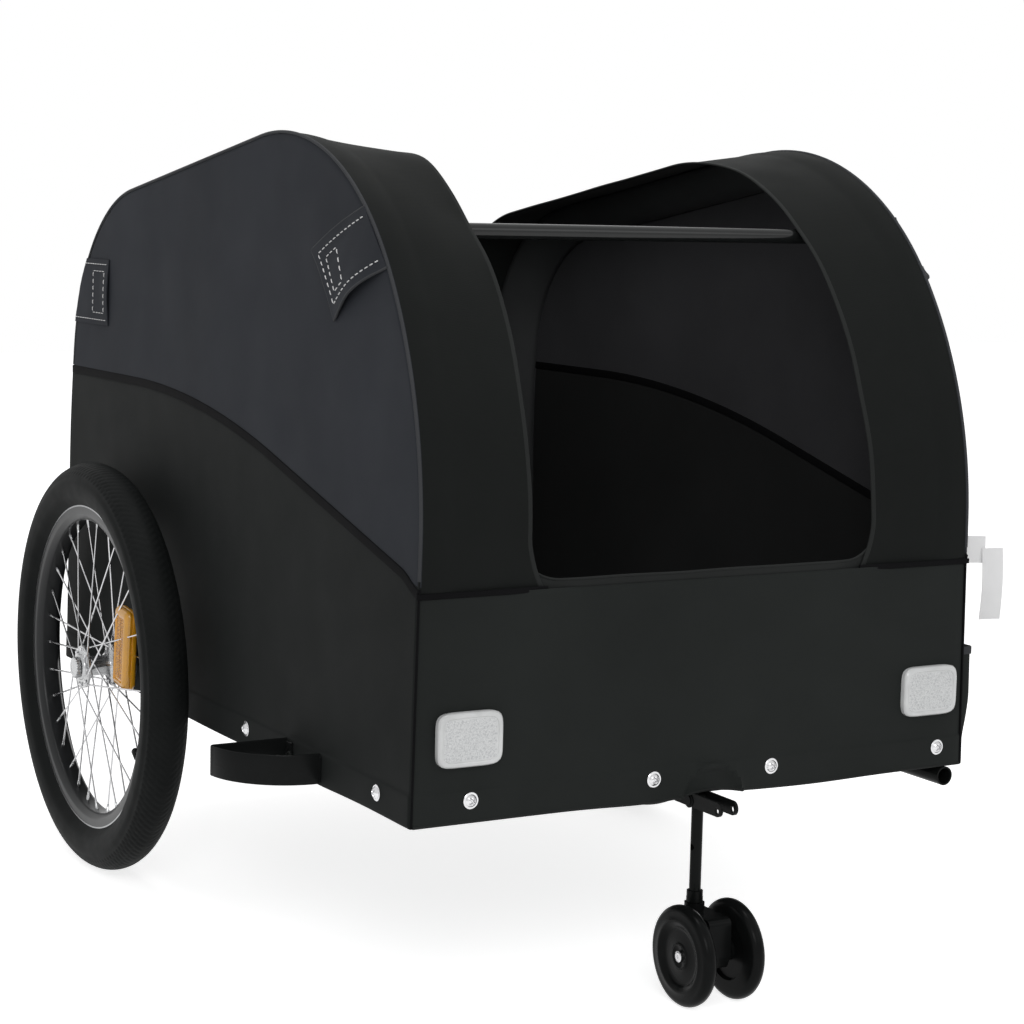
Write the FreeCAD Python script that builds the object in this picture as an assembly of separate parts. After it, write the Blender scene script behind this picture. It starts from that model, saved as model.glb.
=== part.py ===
import FreeCAD, Part
import math
import os

# Two-wheeled bicycle cargo trailer with a folding front castor. Millimetres, +Z up, front towards -Y.
# Working coordinates: x = 0 is the middle, y = 0 the outer face of the front panel, z = 0 the ground.
# Every shape is moved back along Y at the end, so that the origin is under the middle of the whole trailer.
# The trailer's left side is +X.

V = FreeCAD.Vector
X_AXIS = V(1, 0, 0)
Y_AXIS = V(0, 1, 0)
Z_AXIS = V(0, 0, 1)
ORIGIN = V(0, 0, 0)

# ---- driving dimensions ----
# body
body_length = 795.0
body_width = 550.0            # at the bottom hem
body_height = 716.0           # ground to the top of the arch
hem_height = 174.0            # ground to the bottom hem
side_lean = 1.03              # degrees, each side leans inwards
fabric = 3.0                  # thickness of a fabric wall
seat_gap = 0.3                # clearance between a tube and the cloth it carries

# outline of the side, bent from tangent arcs
front_radius = 365.0
front_turn = 35.8             # degrees
crown_radius = 264.0
top_fall = 8.8                # degrees, the roof line falls to the rear
shoulder_radius = 184.0
shoulder_turn = 73.4          # degrees
rear_radius = 900.0

# seams
seam_height = 356.5           # top of the front panel, ground up
wave_rear_height = 479.0      # piping between lower and upper side panel
wave_front_height = 364.0
wave_radius = 1330.0
wave_turn = 14.6              # degrees

# arch bands and rear panel
band_width = 98.0
band_drop = 14.0              # the free edge hangs lower than the seam
band_back = 4.0               # and further back
rear_panel_reach = 690.0      # the rear panel comes over the shoulder to here

# frame tubes
rail_width = 20.0
rail_height = 36.0
rail_bottom = 175.0
hoop_diameter = 19.0
cross_tube = 20.0
cross_tube_places = (210.0, 500.0)
bar_diameter = 13.0
bar_height = 636.0
floor_thickness = 6.0

# main wheels
tyre_radius = 200.0
tyre_width = 45.0
rim_edge_radius = 158.7
rim_width = 24.0
rim_wall = 2.0
rim_well_depth = 7.0
rim_depth = 14.7
wheel_y = 602.0
wheel_gap = 13.5              # between tyre and side panel, at the hem
flange_radius = 21.0
flange_thickness = 3.0
flange_spacing = 30.0
hub_radius = 11.0
hub_length = 39.0
hub_bead = 1.5
spoke_count = 32
spoke_radius = 1.0
spoke_circle = 17.5
spoke_stagger = 1.9
spoke_cross = 3               # spokes that each spoke crosses
axle_radius = 6.0
running_gap = 0.05
end_gap = 0.3
collar_radius = 9.0
cap_length = 5.0
reflector_height = 78.0
reflector_width = 34.0
reflector_thickness = 13.0
reflector_place = 82.0        # from the hub's axis
reflector_angle = 158.0       # degrees about the wheel, from the rear
reflector_tilt = 6.0
reflector_round = 6.0

# lamps of the body
front_lens_width = 61.0
front_lens_height = 46.0
front_lens_depth = 6.0
front_lens_x = 230.0
front_lens_z = 243.5
rear_lens_width = 61.0
rear_lens_height = 46.0
rear_lens_depth = 5.0
rear_lens_x = 215.0
rear_lens_z = 243.5
lens_corner = 9.0

# loop guards ahead of the wheels
guard_front = 164.0
guard_rear = 234.0
guard_reach = 72.0
guard_height = 26.0
guard_strip = 3.0

# tow bar socket, under the left rail
socket_outer = 8.5
socket_inner = 7.0
socket_length = 140.0
socket_front = -2.0
socket_x = 256.0
socket_z = 165.0
saddle_width = 10.0

# castor bracket and strut
ear_inner = 6.3
ear_thickness = 2.5
ear_top = 175.0
ear_height = 12.0
ear_front = -38.0
ear_rear = 30.0
ear_hole_y = -32.0
ear_hole_radius = 2.75
pivot_y = 8.5
pivot_z = 168.0
pivot_radius = 2.5
pin_head_radius = 4.5
pin_head_length = 2.0
strut_radius = 5.0
strut_end = 80.3
collar_top = 90.0
strut_collar_radius = 6.9
notch_clear = 5.0
notch_half_width = 22.0

# castor
castor_radius = 42.5
castor_width = 13.0
castor_track = 48.0
castor_y = -14.0
castor_round = 6.0
castor_recess_radius = 26.0
castor_recess_depth = 3.0
castor_hub_radius = 9.0
castor_axle_radius = 4.0
castor_bolt_radius = 4.6
castor_bolt_head = 2.6
fork_half_width = 11.0
fork_flange_radius = 8.6
fork_flange_bottom = 74.5
fork_flange_top = 80.0
fork_stem_radius = 3.0
fork_stem_length = 14.0
fork_nose = 17.0              # the fork reaches ahead of the wheel's axle
fork_boss = 12.0
fork_round = 6.0

# fabric flaps on the sides and small sewn parts
flap_thickness = 2.4
flap_lift = 0.7
front_flap_top = 62.0          # below the top of the arch
front_flap_low = 110.0
front_flap_length = 94.0
front_flap_fall = 40.0
rear_flap_front = 687.0
rear_flap_bottom = 529.0
rear_flap_height = 66.0
rear_flap_wrap = 30.0
pocket_front = 8.0
pocket_length = 30.0
pocket_bottom = 183.0
pocket_height = 95.0
pocket_depth = 11.0
pocket_bore = 3.3
pocket_taper = 30.0
label_z = 366.0
label_width = 24.0
label_arm = 24.0
label_hang = 58.0
label_thickness = 1.5
label_y = 4.0

# ---- sizes that follow ----
half_width = body_width / 2
hoop_radius = hoop_diameter / 2
rail_top = rail_bottom + rail_height
lean_tan = math.tan(math.radians(side_lean))
# the rail stands upright, clear of the leaning wall at its own top
rail_outer_x = half_width - fabric - seat_gap - lean_tan * (rail_top - hem_height)
rail_inner_x = rail_outer_x - rail_width
# the band drops a little over the width of the hoop, and the hoop lies under it
hoop_offset = fabric + seat_gap + hoop_radius + band_drop * hoop_diameter / band_width
# the bar clears the free edge of both bands
bar_inset = fabric + math.hypot(band_drop, band_back) + bar_diameter / 2 + seat_gap
wheel_x = half_width + wheel_gap + tyre_width / 2
wheel_z = tyre_radius
castor_z = castor_radius
floor_bottom = rail_bottom + cross_tube
floor_top = floor_bottom + floor_thickness
middle_y = (wheel_y + tyre_radius + castor_y - castor_radius) / 2
pocket_bore_x = half_width + pocket_depth / 2

parts = {}


# ---- helpers ----
def box(x0, x1, y0, y1, z0, z1):
    return Part.makeBox(x1 - x0, y1 - y0, z1 - z0, V(x0, y0, z0))


def rod(radius, start, end):
    run = end - start
    return Part.makeCylinder(radius, run.Length, start, run)


def turned(points, centre, axis=X_AXIS):
    """Solid of revolution about X through centre; points are (distance along X, radius)."""
    corners = [V(a, r, 0) for a, r in points]
    face = Part.Face(Part.makePolygon(corners + corners[:1]))
    solid = face.revolve(ORIGIN, axis, 360)
    solid.translate(centre)
    return solid


def mirrored(shape):
    return shape.mirror(ORIGIN, X_AXIS)


def arc_edge(centre, radius, start, end):
    """Arc in the YZ plane from angle start to angle end (degrees, 0 towards +Y, 90 up)."""
    def at(angle):
        a = math.radians(angle)
        return V(0, centre[0] + radius * math.cos(a), centre[1] + radius * math.sin(a))
    return Part.Arc(at(start), at((start + end) / 2), at(end)).toShape()


def yz(y, z):
    return V(0, y, z)


# ---- outline of the side ----
def outline_arcs(inset=0.0):
    """The four arcs of the side outline, as (centre, radius, start angle, end angle)."""
    r_front = front_radius - inset
    r_crown = crown_radius - inset
    r_shoulder = shoulder_radius - inset
    r_rear = rear_radius - inset
    crown_centre_z = body_height - crown_radius
    step = front_radius - crown_radius
    # the front arc starts upright at y = 0
    turn = math.radians(front_turn)
    front_centre_y = front_radius
    crown_centre_y = front_centre_y - step * math.cos(turn)
    front_centre_z = crown_centre_z - step * math.sin(turn)
    fall = 90 - top_fall
    shoulder_end = fall - shoulder_turn
    # the rear arc ends upright at y = body_length
    rear_centre_y = body_length - rear_radius
    rear_step = rear_radius - shoulder_radius
    end = math.radians(shoulder_end)
    shoulder_centre_y = rear_centre_y + rear_step * math.cos(end)
    # the roof is a straight tangent between crown and shoulder
    slope = math.radians(top_fall)
    run = shoulder_centre_y - crown_centre_y
    lift = (crown_radius - shoulder_radius - run * math.sin(slope)) / math.cos(slope)
    shoulder_centre_z = crown_centre_z + lift
    rear_centre_z = shoulder_centre_z - rear_step * math.sin(end)
    return (
        ((front_centre_y, front_centre_z), r_front, 180.0, 180.0 - front_turn),
        ((crown_centre_y, crown_centre_z), r_crown, 180.0 - front_turn, fall),
        ((shoulder_centre_y, shoulder_centre_z), r_shoulder, fall, shoulder_end),
        ((rear_centre_y, rear_centre_z), r_rear, shoulder_end, 0.0),
    )


def outline_chain(inset, bottom):
    """Edges of the outline from the front foot, over the roof, to the rear foot."""
    front, crown, shoulder, rear = [arc_edge(*arc) for arc in outline_arcs(inset)]

    def first(edge):
        return edge.valueAt(edge.FirstParameter)

    def last(edge):
        return edge.valueAt(edge.LastParameter)

    front_foot = yz(inset, bottom)
    rear_foot = yz(body_length - inset, bottom)
    return [
        Part.makeLine(front_foot, first(front)),
        front,
        crown,
        Part.makeLine(last(crown), first(shoulder)),
        shoulder,
        rear,
        Part.makeLine(last(rear), rear_foot),
    ]


def outline_face(inset, bottom=hem_height):
    chain = outline_chain(inset, bottom)
    closing = Part.makeLine(yz(body_length - inset, bottom), yz(inset, bottom))
    return Part.Face(Part.Wire(chain + [closing]))


def outline_front(height, inset=0.0):
    """How far back the front of the outline lies at a height."""
    front, crown = outline_arcs(inset)[:2]
    centre, radius, start, end = front
    if height <= centre[1]:
        return inset
    if height > centre[1] + radius * math.sin(math.radians(end)):
        centre, radius = crown[:2]
    return centre[0] - math.sqrt(radius ** 2 - (height - centre[1]) ** 2)


# ---- a side's own plane: x = 0 is the outer face of the cloth, upright, before it leans ----
def lean(shape):
    """Stand a shape from the side's own plane on the trailer's left side."""
    shape = shape.copy()
    shape.rotate(V(0, 0, hem_height), Y_AXIS, -side_lean)
    shape.translate(V(half_width, 0, 0))
    return shape


def inner_space():
    """All that lies between the two side walls."""
    far = 2 * body_width
    left = lean(box(-far, -fabric, -far, body_length + far, -far, 2 * body_height))
    return left.common(mirrored(left))


def add_pair(name, left_shape):
    parts[name + "_left"] = left_shape
    parts[name + "_right"] = mirrored(left_shape)


# ---- sewn body ----
def below_wave():
    """Everything below the piping that runs in a wave along the side."""
    turn = math.radians(wave_turn)
    # the arc starts level at the rear and ends on a straight fall to the front edge
    drop = wave_rear_height - wave_front_height
    sag = wave_radius * (1 - math.cos(turn))
    arc_end_y = (drop - sag) / math.tan(turn)
    arc_start_y = arc_end_y + wave_radius * math.sin(turn)
    centre = (arc_start_y, wave_rear_height - wave_radius)
    arc = arc_edge(centre, wave_radius, 90.0, 90.0 + wave_turn)
    over = 50.0
    arc_low = yz(arc_end_y, wave_front_height + arc_end_y * math.tan(turn))
    front_end = yz(-over, wave_front_height - over * math.tan(turn))
    rear_end = yz(body_length + over, wave_rear_height)
    low = hem_height - over
    edges = [
        Part.makeLine(rear_end, yz(arc_start_y, wave_rear_height)),
        arc,
        Part.makeLine(arc_low, front_end),
        Part.makeLine(front_end, yz(-over, low)),
        Part.makeLine(yz(-over, low), yz(body_length + over, low)),
        Part.makeLine(yz(body_length + over, low), rear_end),
    ]
    face = Part.Face(Part.Wire(edges))
    return face.extrude(V(-4 * fabric, 0, 0)).translated(V(2 * fabric, 0, 0))


def side_panels():
    wall = outline_face(0.0).extrude(V(-fabric, 0, 0))
    lower_region = below_wave()
    upper = wall.cut(lower_region)
    axle_hole = rod(collar_radius + 1.0, V(-2 * fabric, wheel_y, wheel_z), V(fabric, wheel_y, wheel_z))
    lower = wall.common(lower_region).cut(axle_hole)
    add_pair("upper_side_panel", lean(upper))
    add_pair("lower_side_panel", lean(lower))


def arch_bands():
    """Wide bands over the arch, sewn to the side wall and free on the inside."""
    strip = outline_face(0.0).cut(outline_face(fabric))
    band = strip.extrude(V(-band_width, band_back, -band_drop)).translated(V(-fabric, 0, 0))
    far = 2 * body_length
    band = lean(band).cut(box(-far, far, rear_panel_reach, far, 0, far))
    add_pair("arch_band", band.cut(box(-far, far, -far, far, 0, seam_height)))


def front_panel():
    panel = box(-body_width, body_width, 0, fabric, hem_height, seam_height).common(inner_space())
    notch_top = pivot_z + strut_radius + notch_clear
    notch = box(-notch_half_width, notch_half_width, -fabric, 2 * fabric, 0, notch_top)
    round_end = (notch_top - hem_height) * 0.9
    corners = [e for e in notch.Edges if e.BoundBox.YLength > fabric and e.BoundBox.ZMin > hem_height]
    parts["front_panel"] = panel.cut(notch.makeFillet(round_end, corners))


def rear_panel():
    strip = outline_face(0.0).cut(outline_face(fabric))
    strip = strip.cut(box(-1, 1, -body_length, rear_panel_reach, 0, 2 * body_height))
    panel = strip.extrude(V(2 * body_width, 0, 0)).translated(V(-body_width, 0, 0))
    parts["rear_panel"] = panel.common(inner_space())


def flaps():
    """Rain-cover flaps: one at each arch seam, one wrapped round each rear corner."""
    top = body_height - front_flap_top
    low = body_height - front_flap_low
    seam_top = (outline_front(top), top)
    seam_low = (outline_front(low), low)
    corners = [
        yz(*seam_top),
        yz(seam_top[0] + front_flap_length, top - front_flap_fall),
        yz(seam_low[0] + front_flap_length, low - front_flap_fall),
        yz(*seam_low),
    ]
    front = Part.Face(Part.makePolygon(corners + corners[:1])).extrude(V(flap_thickness, 0, 0))
    front_left = lean(front.translated(V(flap_lift, 0, 0)))
    parts["front_flaps"] = Part.makeCompound([front_left, mirrored(front_left)])
    outer = outline_face(-flap_lift - flap_thickness)
    shell = outer.cut(outline_face(-flap_lift))
    rear_low = rear_flap_bottom
    rear_top = rear_flap_bottom + rear_flap_height
    window = box(-1, 1, rear_flap_front, 2 * body_length, rear_low, rear_top)
    flat = outer.common(window).extrude(V(flap_thickness, 0, 0)).translated(V(flap_lift, 0, 0))
    wrap = shell.common(window).extrude(V(rear_flap_wrap + flap_lift, 0, 0))
    rear_left = lean(flat.fuse(wrap.translated(V(-rear_flap_wrap, 0, 0))).removeSplitter())
    parts["rear_flaps"] = Part.makeCompound([rear_left, mirrored(rear_left)])


def flag_pocket():
    """Sewn sleeve for a flag pole on the left front corner."""
    wall_x = half_width
    top = pocket_bottom + pocket_height
    sleeve = box(wall_x - 4 * fabric, wall_x + pocket_depth, pocket_front,
                 pocket_front + pocket_length, pocket_bottom, top)
    low_edge = [V(wall_x + fabric, 0, pocket_bottom - 1), V(wall_x + pocket_depth + 1, 0, pocket_bottom - 1),
                V(wall_x + pocket_depth + 1, 0, pocket_bottom + pocket_taper)]
    wedge = Part.Face(Part.makePolygon(low_edge + low_edge[:1])).extrude(V(0, body_width, 0))
    sleeve = sleeve.cut(wedge)
    inner = lean(box(-10 * fabric, 0, -body_length, body_length, 0, body_height))
    sleeve = sleeve.cut(inner)
    bore_y = pocket_front + pocket_length / 2
    bore_low = pocket_bottom + pocket_taper
    bore = rod(pocket_bore, V(pocket_bore_x, bore_y, bore_low), V(pocket_bore_x, bore_y, top + 1))
    parts["flag_pocket"] = sleeve.cut(bore)


def label():
    """Blank ribbon sewn into the left front seam."""
    wall_x = half_width - lean_tan * (label_z - hem_height)
    half = label_width / 2
    arm = box(wall_x, wall_x + label_arm, label_y, label_y + label_thickness, label_z - half, label_z + half)
    hang = box(wall_x + label_arm - fabric, wall_x + label_arm - fabric + label_width, label_y,
               label_y + label_thickness, label_z - label_hang, label_z)
    ribbon = arm.fuse(hang).removeSplitter()
    inner = lean(box(-10 * fabric, 0, -body_length, body_length, 0, body_height))
    parts["blank_label"] = ribbon.cut(inner)


# ---- frame ----
def rails():
    front = fabric + seat_gap
    rear = body_length - fabric - seat_gap
    side = box(rail_inner_x, rail_outer_x, front, rear, rail_bottom, rail_top)
    side = side.cut(rod(axle_radius, V(rail_inner_x, wheel_y, wheel_z), V(rail_outer_x, wheel_y, wheel_z)))
    add_pair("side_rail", side)
    parts["front_rail"] = box(-rail_inner_x, rail_inner_x, front, front + rail_width, rail_bottom, rail_top)
    parts["rear_rail"] = box(-rail_inner_x, rail_inner_x, rear - rail_width, rear, rail_bottom, rail_top)
    tubes = []
    for place in cross_tube_places:
        tubes.append(box(-rail_inner_x, rail_inner_x, place, place + cross_tube, rail_bottom, floor_bottom))
    parts["cross_tubes"] = Part.makeCompound(tubes)
    parts["floor_board"] = box(-rail_inner_x, rail_inner_x, front + rail_width, rear - rail_width,
                               floor_bottom, floor_top)


def hoop_solid():
    """Bent tube that carries one side of the cloth, its feet on the rails."""
    foot = rail_top - hoop_radius
    path = Part.Wire(outline_chain(hoop_offset, foot))
    ring = Part.Wire(Part.makeCircle(hoop_radius, yz(hoop_offset, foot), Z_AXIS))
    tube = path.makePipeShell([ring], True, False)
    tube = lean(tube.translated(V(-fabric - seat_gap - hoop_radius, 0, 0)))
    far = 2 * body_length
    return tube.cut(box(-far, far, -far, far, 0, rail_top))


def hoops():
    left = hoop_solid()
    right = mirrored(left)
    parts["hoop_left"] = left
    parts["hoop_right"] = right
    bar_y = outline_front(bar_height, bar_inset)
    reach = half_width - fabric - seat_gap - hoop_radius - lean_tan * (bar_height - hem_height)
    bar = rod(bar_diameter / 2, V(-reach, bar_y, bar_height), V(reach, bar_y, bar_height))
    parts["cross_bar"] = bar.cut(left).cut(right)


def lens(width, depth, height, x, z, face_y, outward):
    """Block lamp lens with rounded corners, its back on the cloth."""
    block = Part.makeBox(width, depth, height, V(x - width / 2, 0, z - height / 2))
    upright = [e for e in block.Edges if e.BoundBox.YLength > depth / 2]
    block = block.makeFillet(lens_corner, upright)
    rim = [e for e in block.Edges if e.BoundBox.YMin > depth - 0.01]
    block = block.makeFillet(depth / 3, rim)
    if outward < 0:
        block = block.mirror(ORIGIN, Y_AXIS)
    return block.translated(V(0, face_y, 0))


def lamps():
    front = lens(front_lens_width, front_lens_depth, front_lens_height, front_lens_x, front_lens_z, 0, -1)
    rear = lens(rear_lens_width, rear_lens_depth, rear_lens_height, rear_lens_x, rear_lens_z, body_length, 1)
    parts["front_reflectors"] = Part.makeCompound([front, mirrored(front)])
    parts["rear_reflectors"] = Part.makeCompound([rear, mirrored(rear)])


def guards():
    """Quarter-round strip loop ahead of each wheel, screwed to the side."""
    depth = guard_rear - guard_front

    def quarter(shrink):
        reach = guard_reach - shrink
        span = depth - 2 * shrink
        low = V(shrink, guard_front + shrink, hem_height)
        tip = V(reach, guard_front + shrink + span, hem_height)
        back = V(shrink, guard_front + shrink + span, hem_height)
        mid = V(shrink + (reach - shrink) * math.sin(math.pi / 4),
                guard_front + shrink + span * (1 - math.cos(math.pi / 4)), hem_height)
        edges = [Part.Arc(low, mid, tip).toShape(), Part.makeLine(tip, back), Part.makeLine(back, low)]
        return Part.Face(Part.Wire(edges)).extrude(V(0, 0, guard_height))

    add_pair("wheel_guard", lean(quarter(0.0).cut(quarter(guard_strip))))


def tow_bar_socket():
    front = V(socket_x, socket_front, socket_z)
    rear = V(socket_x, socket_front + socket_length, socket_z)
    saddle_front = fabric + seat_gap + rail_width
    saddle = box(socket_x - saddle_width / 2, socket_x + saddle_width / 2, saddle_front,
                 socket_front + socket_length - rail_width, socket_z, rail_bottom)
    tube = rod(socket_outer, front, rear).fuse(saddle).removeSplitter()
    parts["tow_bar_socket"] = tube.cut(rod(socket_inner, front, rear))


# ---- front castor ----
def castor_bracket():
    ear_low = ear_top - ear_height
    plate = box(ear_inner, ear_inner + ear_thickness, ear_front, ear_rear, ear_low, ear_top)
    nose = [e for e in plate.Edges if e.BoundBox.XLength > ear_thickness / 2 and e.BoundBox.YMax < ear_front + 1]
    plate = plate.makeFillet(ear_height * 0.49, nose)
    web = box(-ear_inner, ear_inner, ear_rear - ear_thickness, ear_rear, ear_low, ear_top)
    bracket = plate.fuse(mirrored(plate)).fuse(web).removeSplitter()
    reach = ear_inner + 2 * ear_thickness
    pin_hole = rod(pivot_radius, V(-reach, pivot_y, pivot_z), V(reach, pivot_y, pivot_z))
    lock_hole = rod(ear_hole_radius, V(-reach, ear_hole_y, pivot_z), V(reach, ear_hole_y, pivot_z))
    parts["castor_bracket"] = bracket.cut(pin_hole).cut(lock_hole)
    outer = ear_inner + ear_thickness
    pin = rod(pivot_radius, V(-outer, pivot_y, pivot_z), V(outer, pivot_y, pivot_z))
    head = rod(pin_head_radius, V(outer, pivot_y, pivot_z), V(outer + pin_head_length, pivot_y, pivot_z))
    parts["castor_pivot_pin"] = pin.fuse(head).fuse(mirrored(head)).removeSplitter()


def castor_strut():
    eye = ear_inner - 0.5
    top = V(0, pivot_y, pivot_z)
    strut = rod(strut_radius, V(0, pivot_y, strut_end), top)
    strut = strut.fuse(rod(strut_radius, V(-eye, pivot_y, pivot_z), V(eye, pivot_y, pivot_z)))
    strut = strut.fuse(rod(strut_collar_radius, V(0, pivot_y, strut_end), V(0, pivot_y, collar_top)))
    pin_bore = pivot_radius + running_gap
    strut = strut.cut(rod(pin_bore, V(-2 * eye, pivot_y, pivot_z), V(2 * eye, pivot_y, pivot_z)))
    # folded forward, this hole meets the holes in the bracket's ears
    lock_z = pivot_z - (pivot_y - ear_hole_y)
    strut = strut.cut(rod(ear_hole_radius, V(-2 * eye, pivot_y, lock_z), V(2 * eye, pivot_y, lock_z)))
    bore_top = strut_end + fork_stem_length + 1
    strut = strut.cut(rod(fork_stem_radius + running_gap, V(0, pivot_y, strut_end - 1), V(0, pivot_y, bore_top)))
    parts["castor_strut"] = strut.removeSplitter()


def castor_fork():
    centre = V(0, pivot_y, fork_flange_bottom)
    flange = rod(fork_flange_radius, centre, V(0, pivot_y, fork_flange_top))
    stem = rod(fork_stem_radius, centre, V(0, pivot_y, fork_flange_top + fork_stem_length))
    rear = pivot_y + fork_flange_radius
    front = castor_y - fork_nose
    outline = [
        yz(rear, fork_flange_bottom),
        yz(front, fork_flange_bottom),
        yz(front, castor_z),
        yz(castor_y - fork_boss, castor_z - fork_boss),
        yz(castor_y + fork_boss, castor_z - fork_boss),
        yz(rear, castor_z + fork_boss),
    ]
    web = Part.Face(Part.makePolygon(outline + outline[:1])).extrude(V(2 * fork_half_width, 0, 0))
    web = web.translated(V(-fork_half_width, 0, 0))
    long_edges = [e for e in web.Edges if e.BoundBox.XLength > fork_half_width]
    web = web.makeFillet(fork_round, long_edges)
    fork = web.fuse(flange).fuse(stem).removeSplitter()
    reach = 2 * fork_half_width
    bore = rod(castor_axle_radius + running_gap, V(-reach, castor_y, castor_z), V(reach, castor_y, castor_z))
    parts["castor_fork"] = fork.cut(bore)


def castor_wheels():
    half = castor_width / 2
    floor = half - castor_recess_depth
    inner_ring = castor_recess_radius - 2
    profile = [
        (-half, castor_radius), (half, castor_radius), (half, castor_recess_radius), (floor, inner_ring),
        (floor, castor_axle_radius), (-half, castor_axle_radius), (-half, castor_hub_radius),
        (-floor, castor_hub_radius), (-floor, inner_ring), (-half, castor_recess_radius),
    ]
    wheel = turned(profile, ORIGIN)
    tread = [e for e in wheel.Edges if e.BoundBox.YLength > 2 * castor_radius - 0.1]
    wheel = wheel.makeFillet(castor_round, tread)
    left = wheel.translated(V(castor_track / 2, castor_y, castor_z))
    parts["castor_wheels"] = Part.makeCompound([left, mirrored(left)])
    reach = castor_track / 2 + floor
    shaft = rod(castor_axle_radius, V(-reach, castor_y, castor_z), V(reach, castor_y, castor_z))
    head = rod(castor_bolt_radius, V(reach, castor_y, castor_z), V(reach + castor_bolt_head, castor_y, castor_z))
    parts["castor_axle"] = shaft.fuse(head).fuse(mirrored(head)).removeSplitter()


# ---- main wheels ----
def rim_shape():
    half = rim_width / 2
    edge = rim_edge_radius
    well = edge - rim_well_depth
    inner = edge - rim_depth
    profile = [
        (-half, edge), (-half + rim_wall, edge), (-half + rim_wall, well), (half - rim_wall, well),
        (half - rim_wall, edge), (half, edge), (half, well - rim_wall), (half - 2 * rim_wall, inner),
        (-half + 2 * rim_wall, inner), (-half, well - rim_wall),
    ]
    return turned(profile, ORIGIN)


def hub_shape():
    half = hub_length / 2
    near = flange_spacing / 2 - flange_thickness / 2
    far = flange_spacing / 2 + flange_thickness / 2
    bore = axle_radius + running_gap
    outer = [(half, bore), (half, hub_radius), (far, hub_radius + hub_bead), (far, flange_radius),
             (near, flange_radius), (near, hub_radius)]
    inner = [(-a, r) for a, r in reversed(outer)]
    return turned(outer + inner, ORIGIN)


def spoke_solids(hub, rim):
    """Tangent-laced spokes, every second one from the other flange."""
    pitch = 360.0 / spoke_count
    lead = spoke_cross * 2 * pitch
    rim_reach = rim_edge_radius - rim_depth + 1.0
    spokes = []
    for index in range(spoke_count):
        side = 1 if index % 2 == 0 else -1
        lacing = 1 if (index // 2) % 2 == 0 else -1
        rim_angle = math.radians(index * pitch)
        hub_angle = rim_angle + math.radians(lacing * lead)
        x_hub = side * (flange_spacing / 2) + lacing * spoke_stagger
        start = V(x_hub, spoke_circle * math.cos(hub_angle), spoke_circle * math.sin(hub_angle))
        end = V(0, rim_reach * math.cos(rim_angle), rim_reach * math.sin(rim_angle))
        spokes.append(rod(spoke_radius, start, end).cut(hub).cut(rim))
    return spokes


def wheel_reflector(spokes):
    """Two-faced reflector clipped between the spokes, grooved where they pass."""
    half = reflector_thickness / 2
    block = box(-half, half, -reflector_width / 2, reflector_width / 2,
                -reflector_height / 2, reflector_height / 2)
    across = [e for e in block.Edges if e.BoundBox.XLength > half]
    block = block.makeFillet(reflector_round, across)
    block.rotate(ORIGIN, X_AXIS, reflector_tilt)
    angle = math.radians(reflector_angle)
    block.translate(yz(reflector_place * math.cos(angle), reflector_place * math.sin(angle)))
    for spoke in spokes:
        block = block.cut(spoke)
    return max(block.Solids, key=lambda solid: solid.Volume)


def main_wheels():
    centre = V(wheel_x, wheel_y, wheel_z)
    rim = rim_shape()
    section = tyre_width / 2
    tyre = Part.makeTorus(tyre_radius - section, section, ORIGIN, X_AXIS).cut(rim)
    hub = hub_shape()
    spokes = spoke_solids(hub, rim)
    reflector = wheel_reflector(spokes)
    pieces = {"tyre": tyre, "rim": rim, "hub": hub, "spokes": Part.makeCompound(spokes),
              "spoke_reflector": reflector}
    for name, shape in pieces.items():
        add_pair(name, shape.translated(centre))
    # fixed axle: pressed through the rail, collar inboard of the hub, button outboard
    inner_end = V(rail_inner_x, wheel_y, wheel_z)
    cap_start = wheel_x + hub_length / 2 + end_gap
    cap_end = V(cap_start + cap_length, wheel_y, wheel_z)
    collar_end = V(wheel_x - hub_length / 2 - end_gap, wheel_y, wheel_z)
    axle = rod(axle_radius, inner_end, cap_end)
    axle = axle.fuse(rod(collar_radius, V(rail_outer_x, wheel_y, wheel_z), collar_end))
    axle = axle.fuse(rod(collar_radius, V(cap_start, wheel_y, wheel_z), cap_end))
    add_pair("axle", axle.removeSplitter())


side_panels()
arch_bands()
front_panel()
rear_panel()
flaps()
flag_pocket()
label()
rails()
hoops()
lamps()
guards()
tow_bar_socket()
castor_bracket()
castor_strut()
castor_fork()
castor_wheels()
main_wheels()

os.makedirs("parts", exist_ok=True)
for name, shape in parts.items():
    shape = shape.translated(V(0, -middle_y, 0))
    solids = shape.Solids
    shape = solids[0] if len(solids) == 1 else Part.makeCompound(solids)
    shape.exportStep("parts/" + name + ".step")
    print(name, len(solids), "solids", round(shape.Volume), "mm3", "valid" if shape.isValid() else "NOT VALID")
print("origin lies", middle_y, "mm behind the front panel")
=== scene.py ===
import math
import random

import bmesh
import bpy
from mathutils import Matrix, Vector, noise


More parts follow.
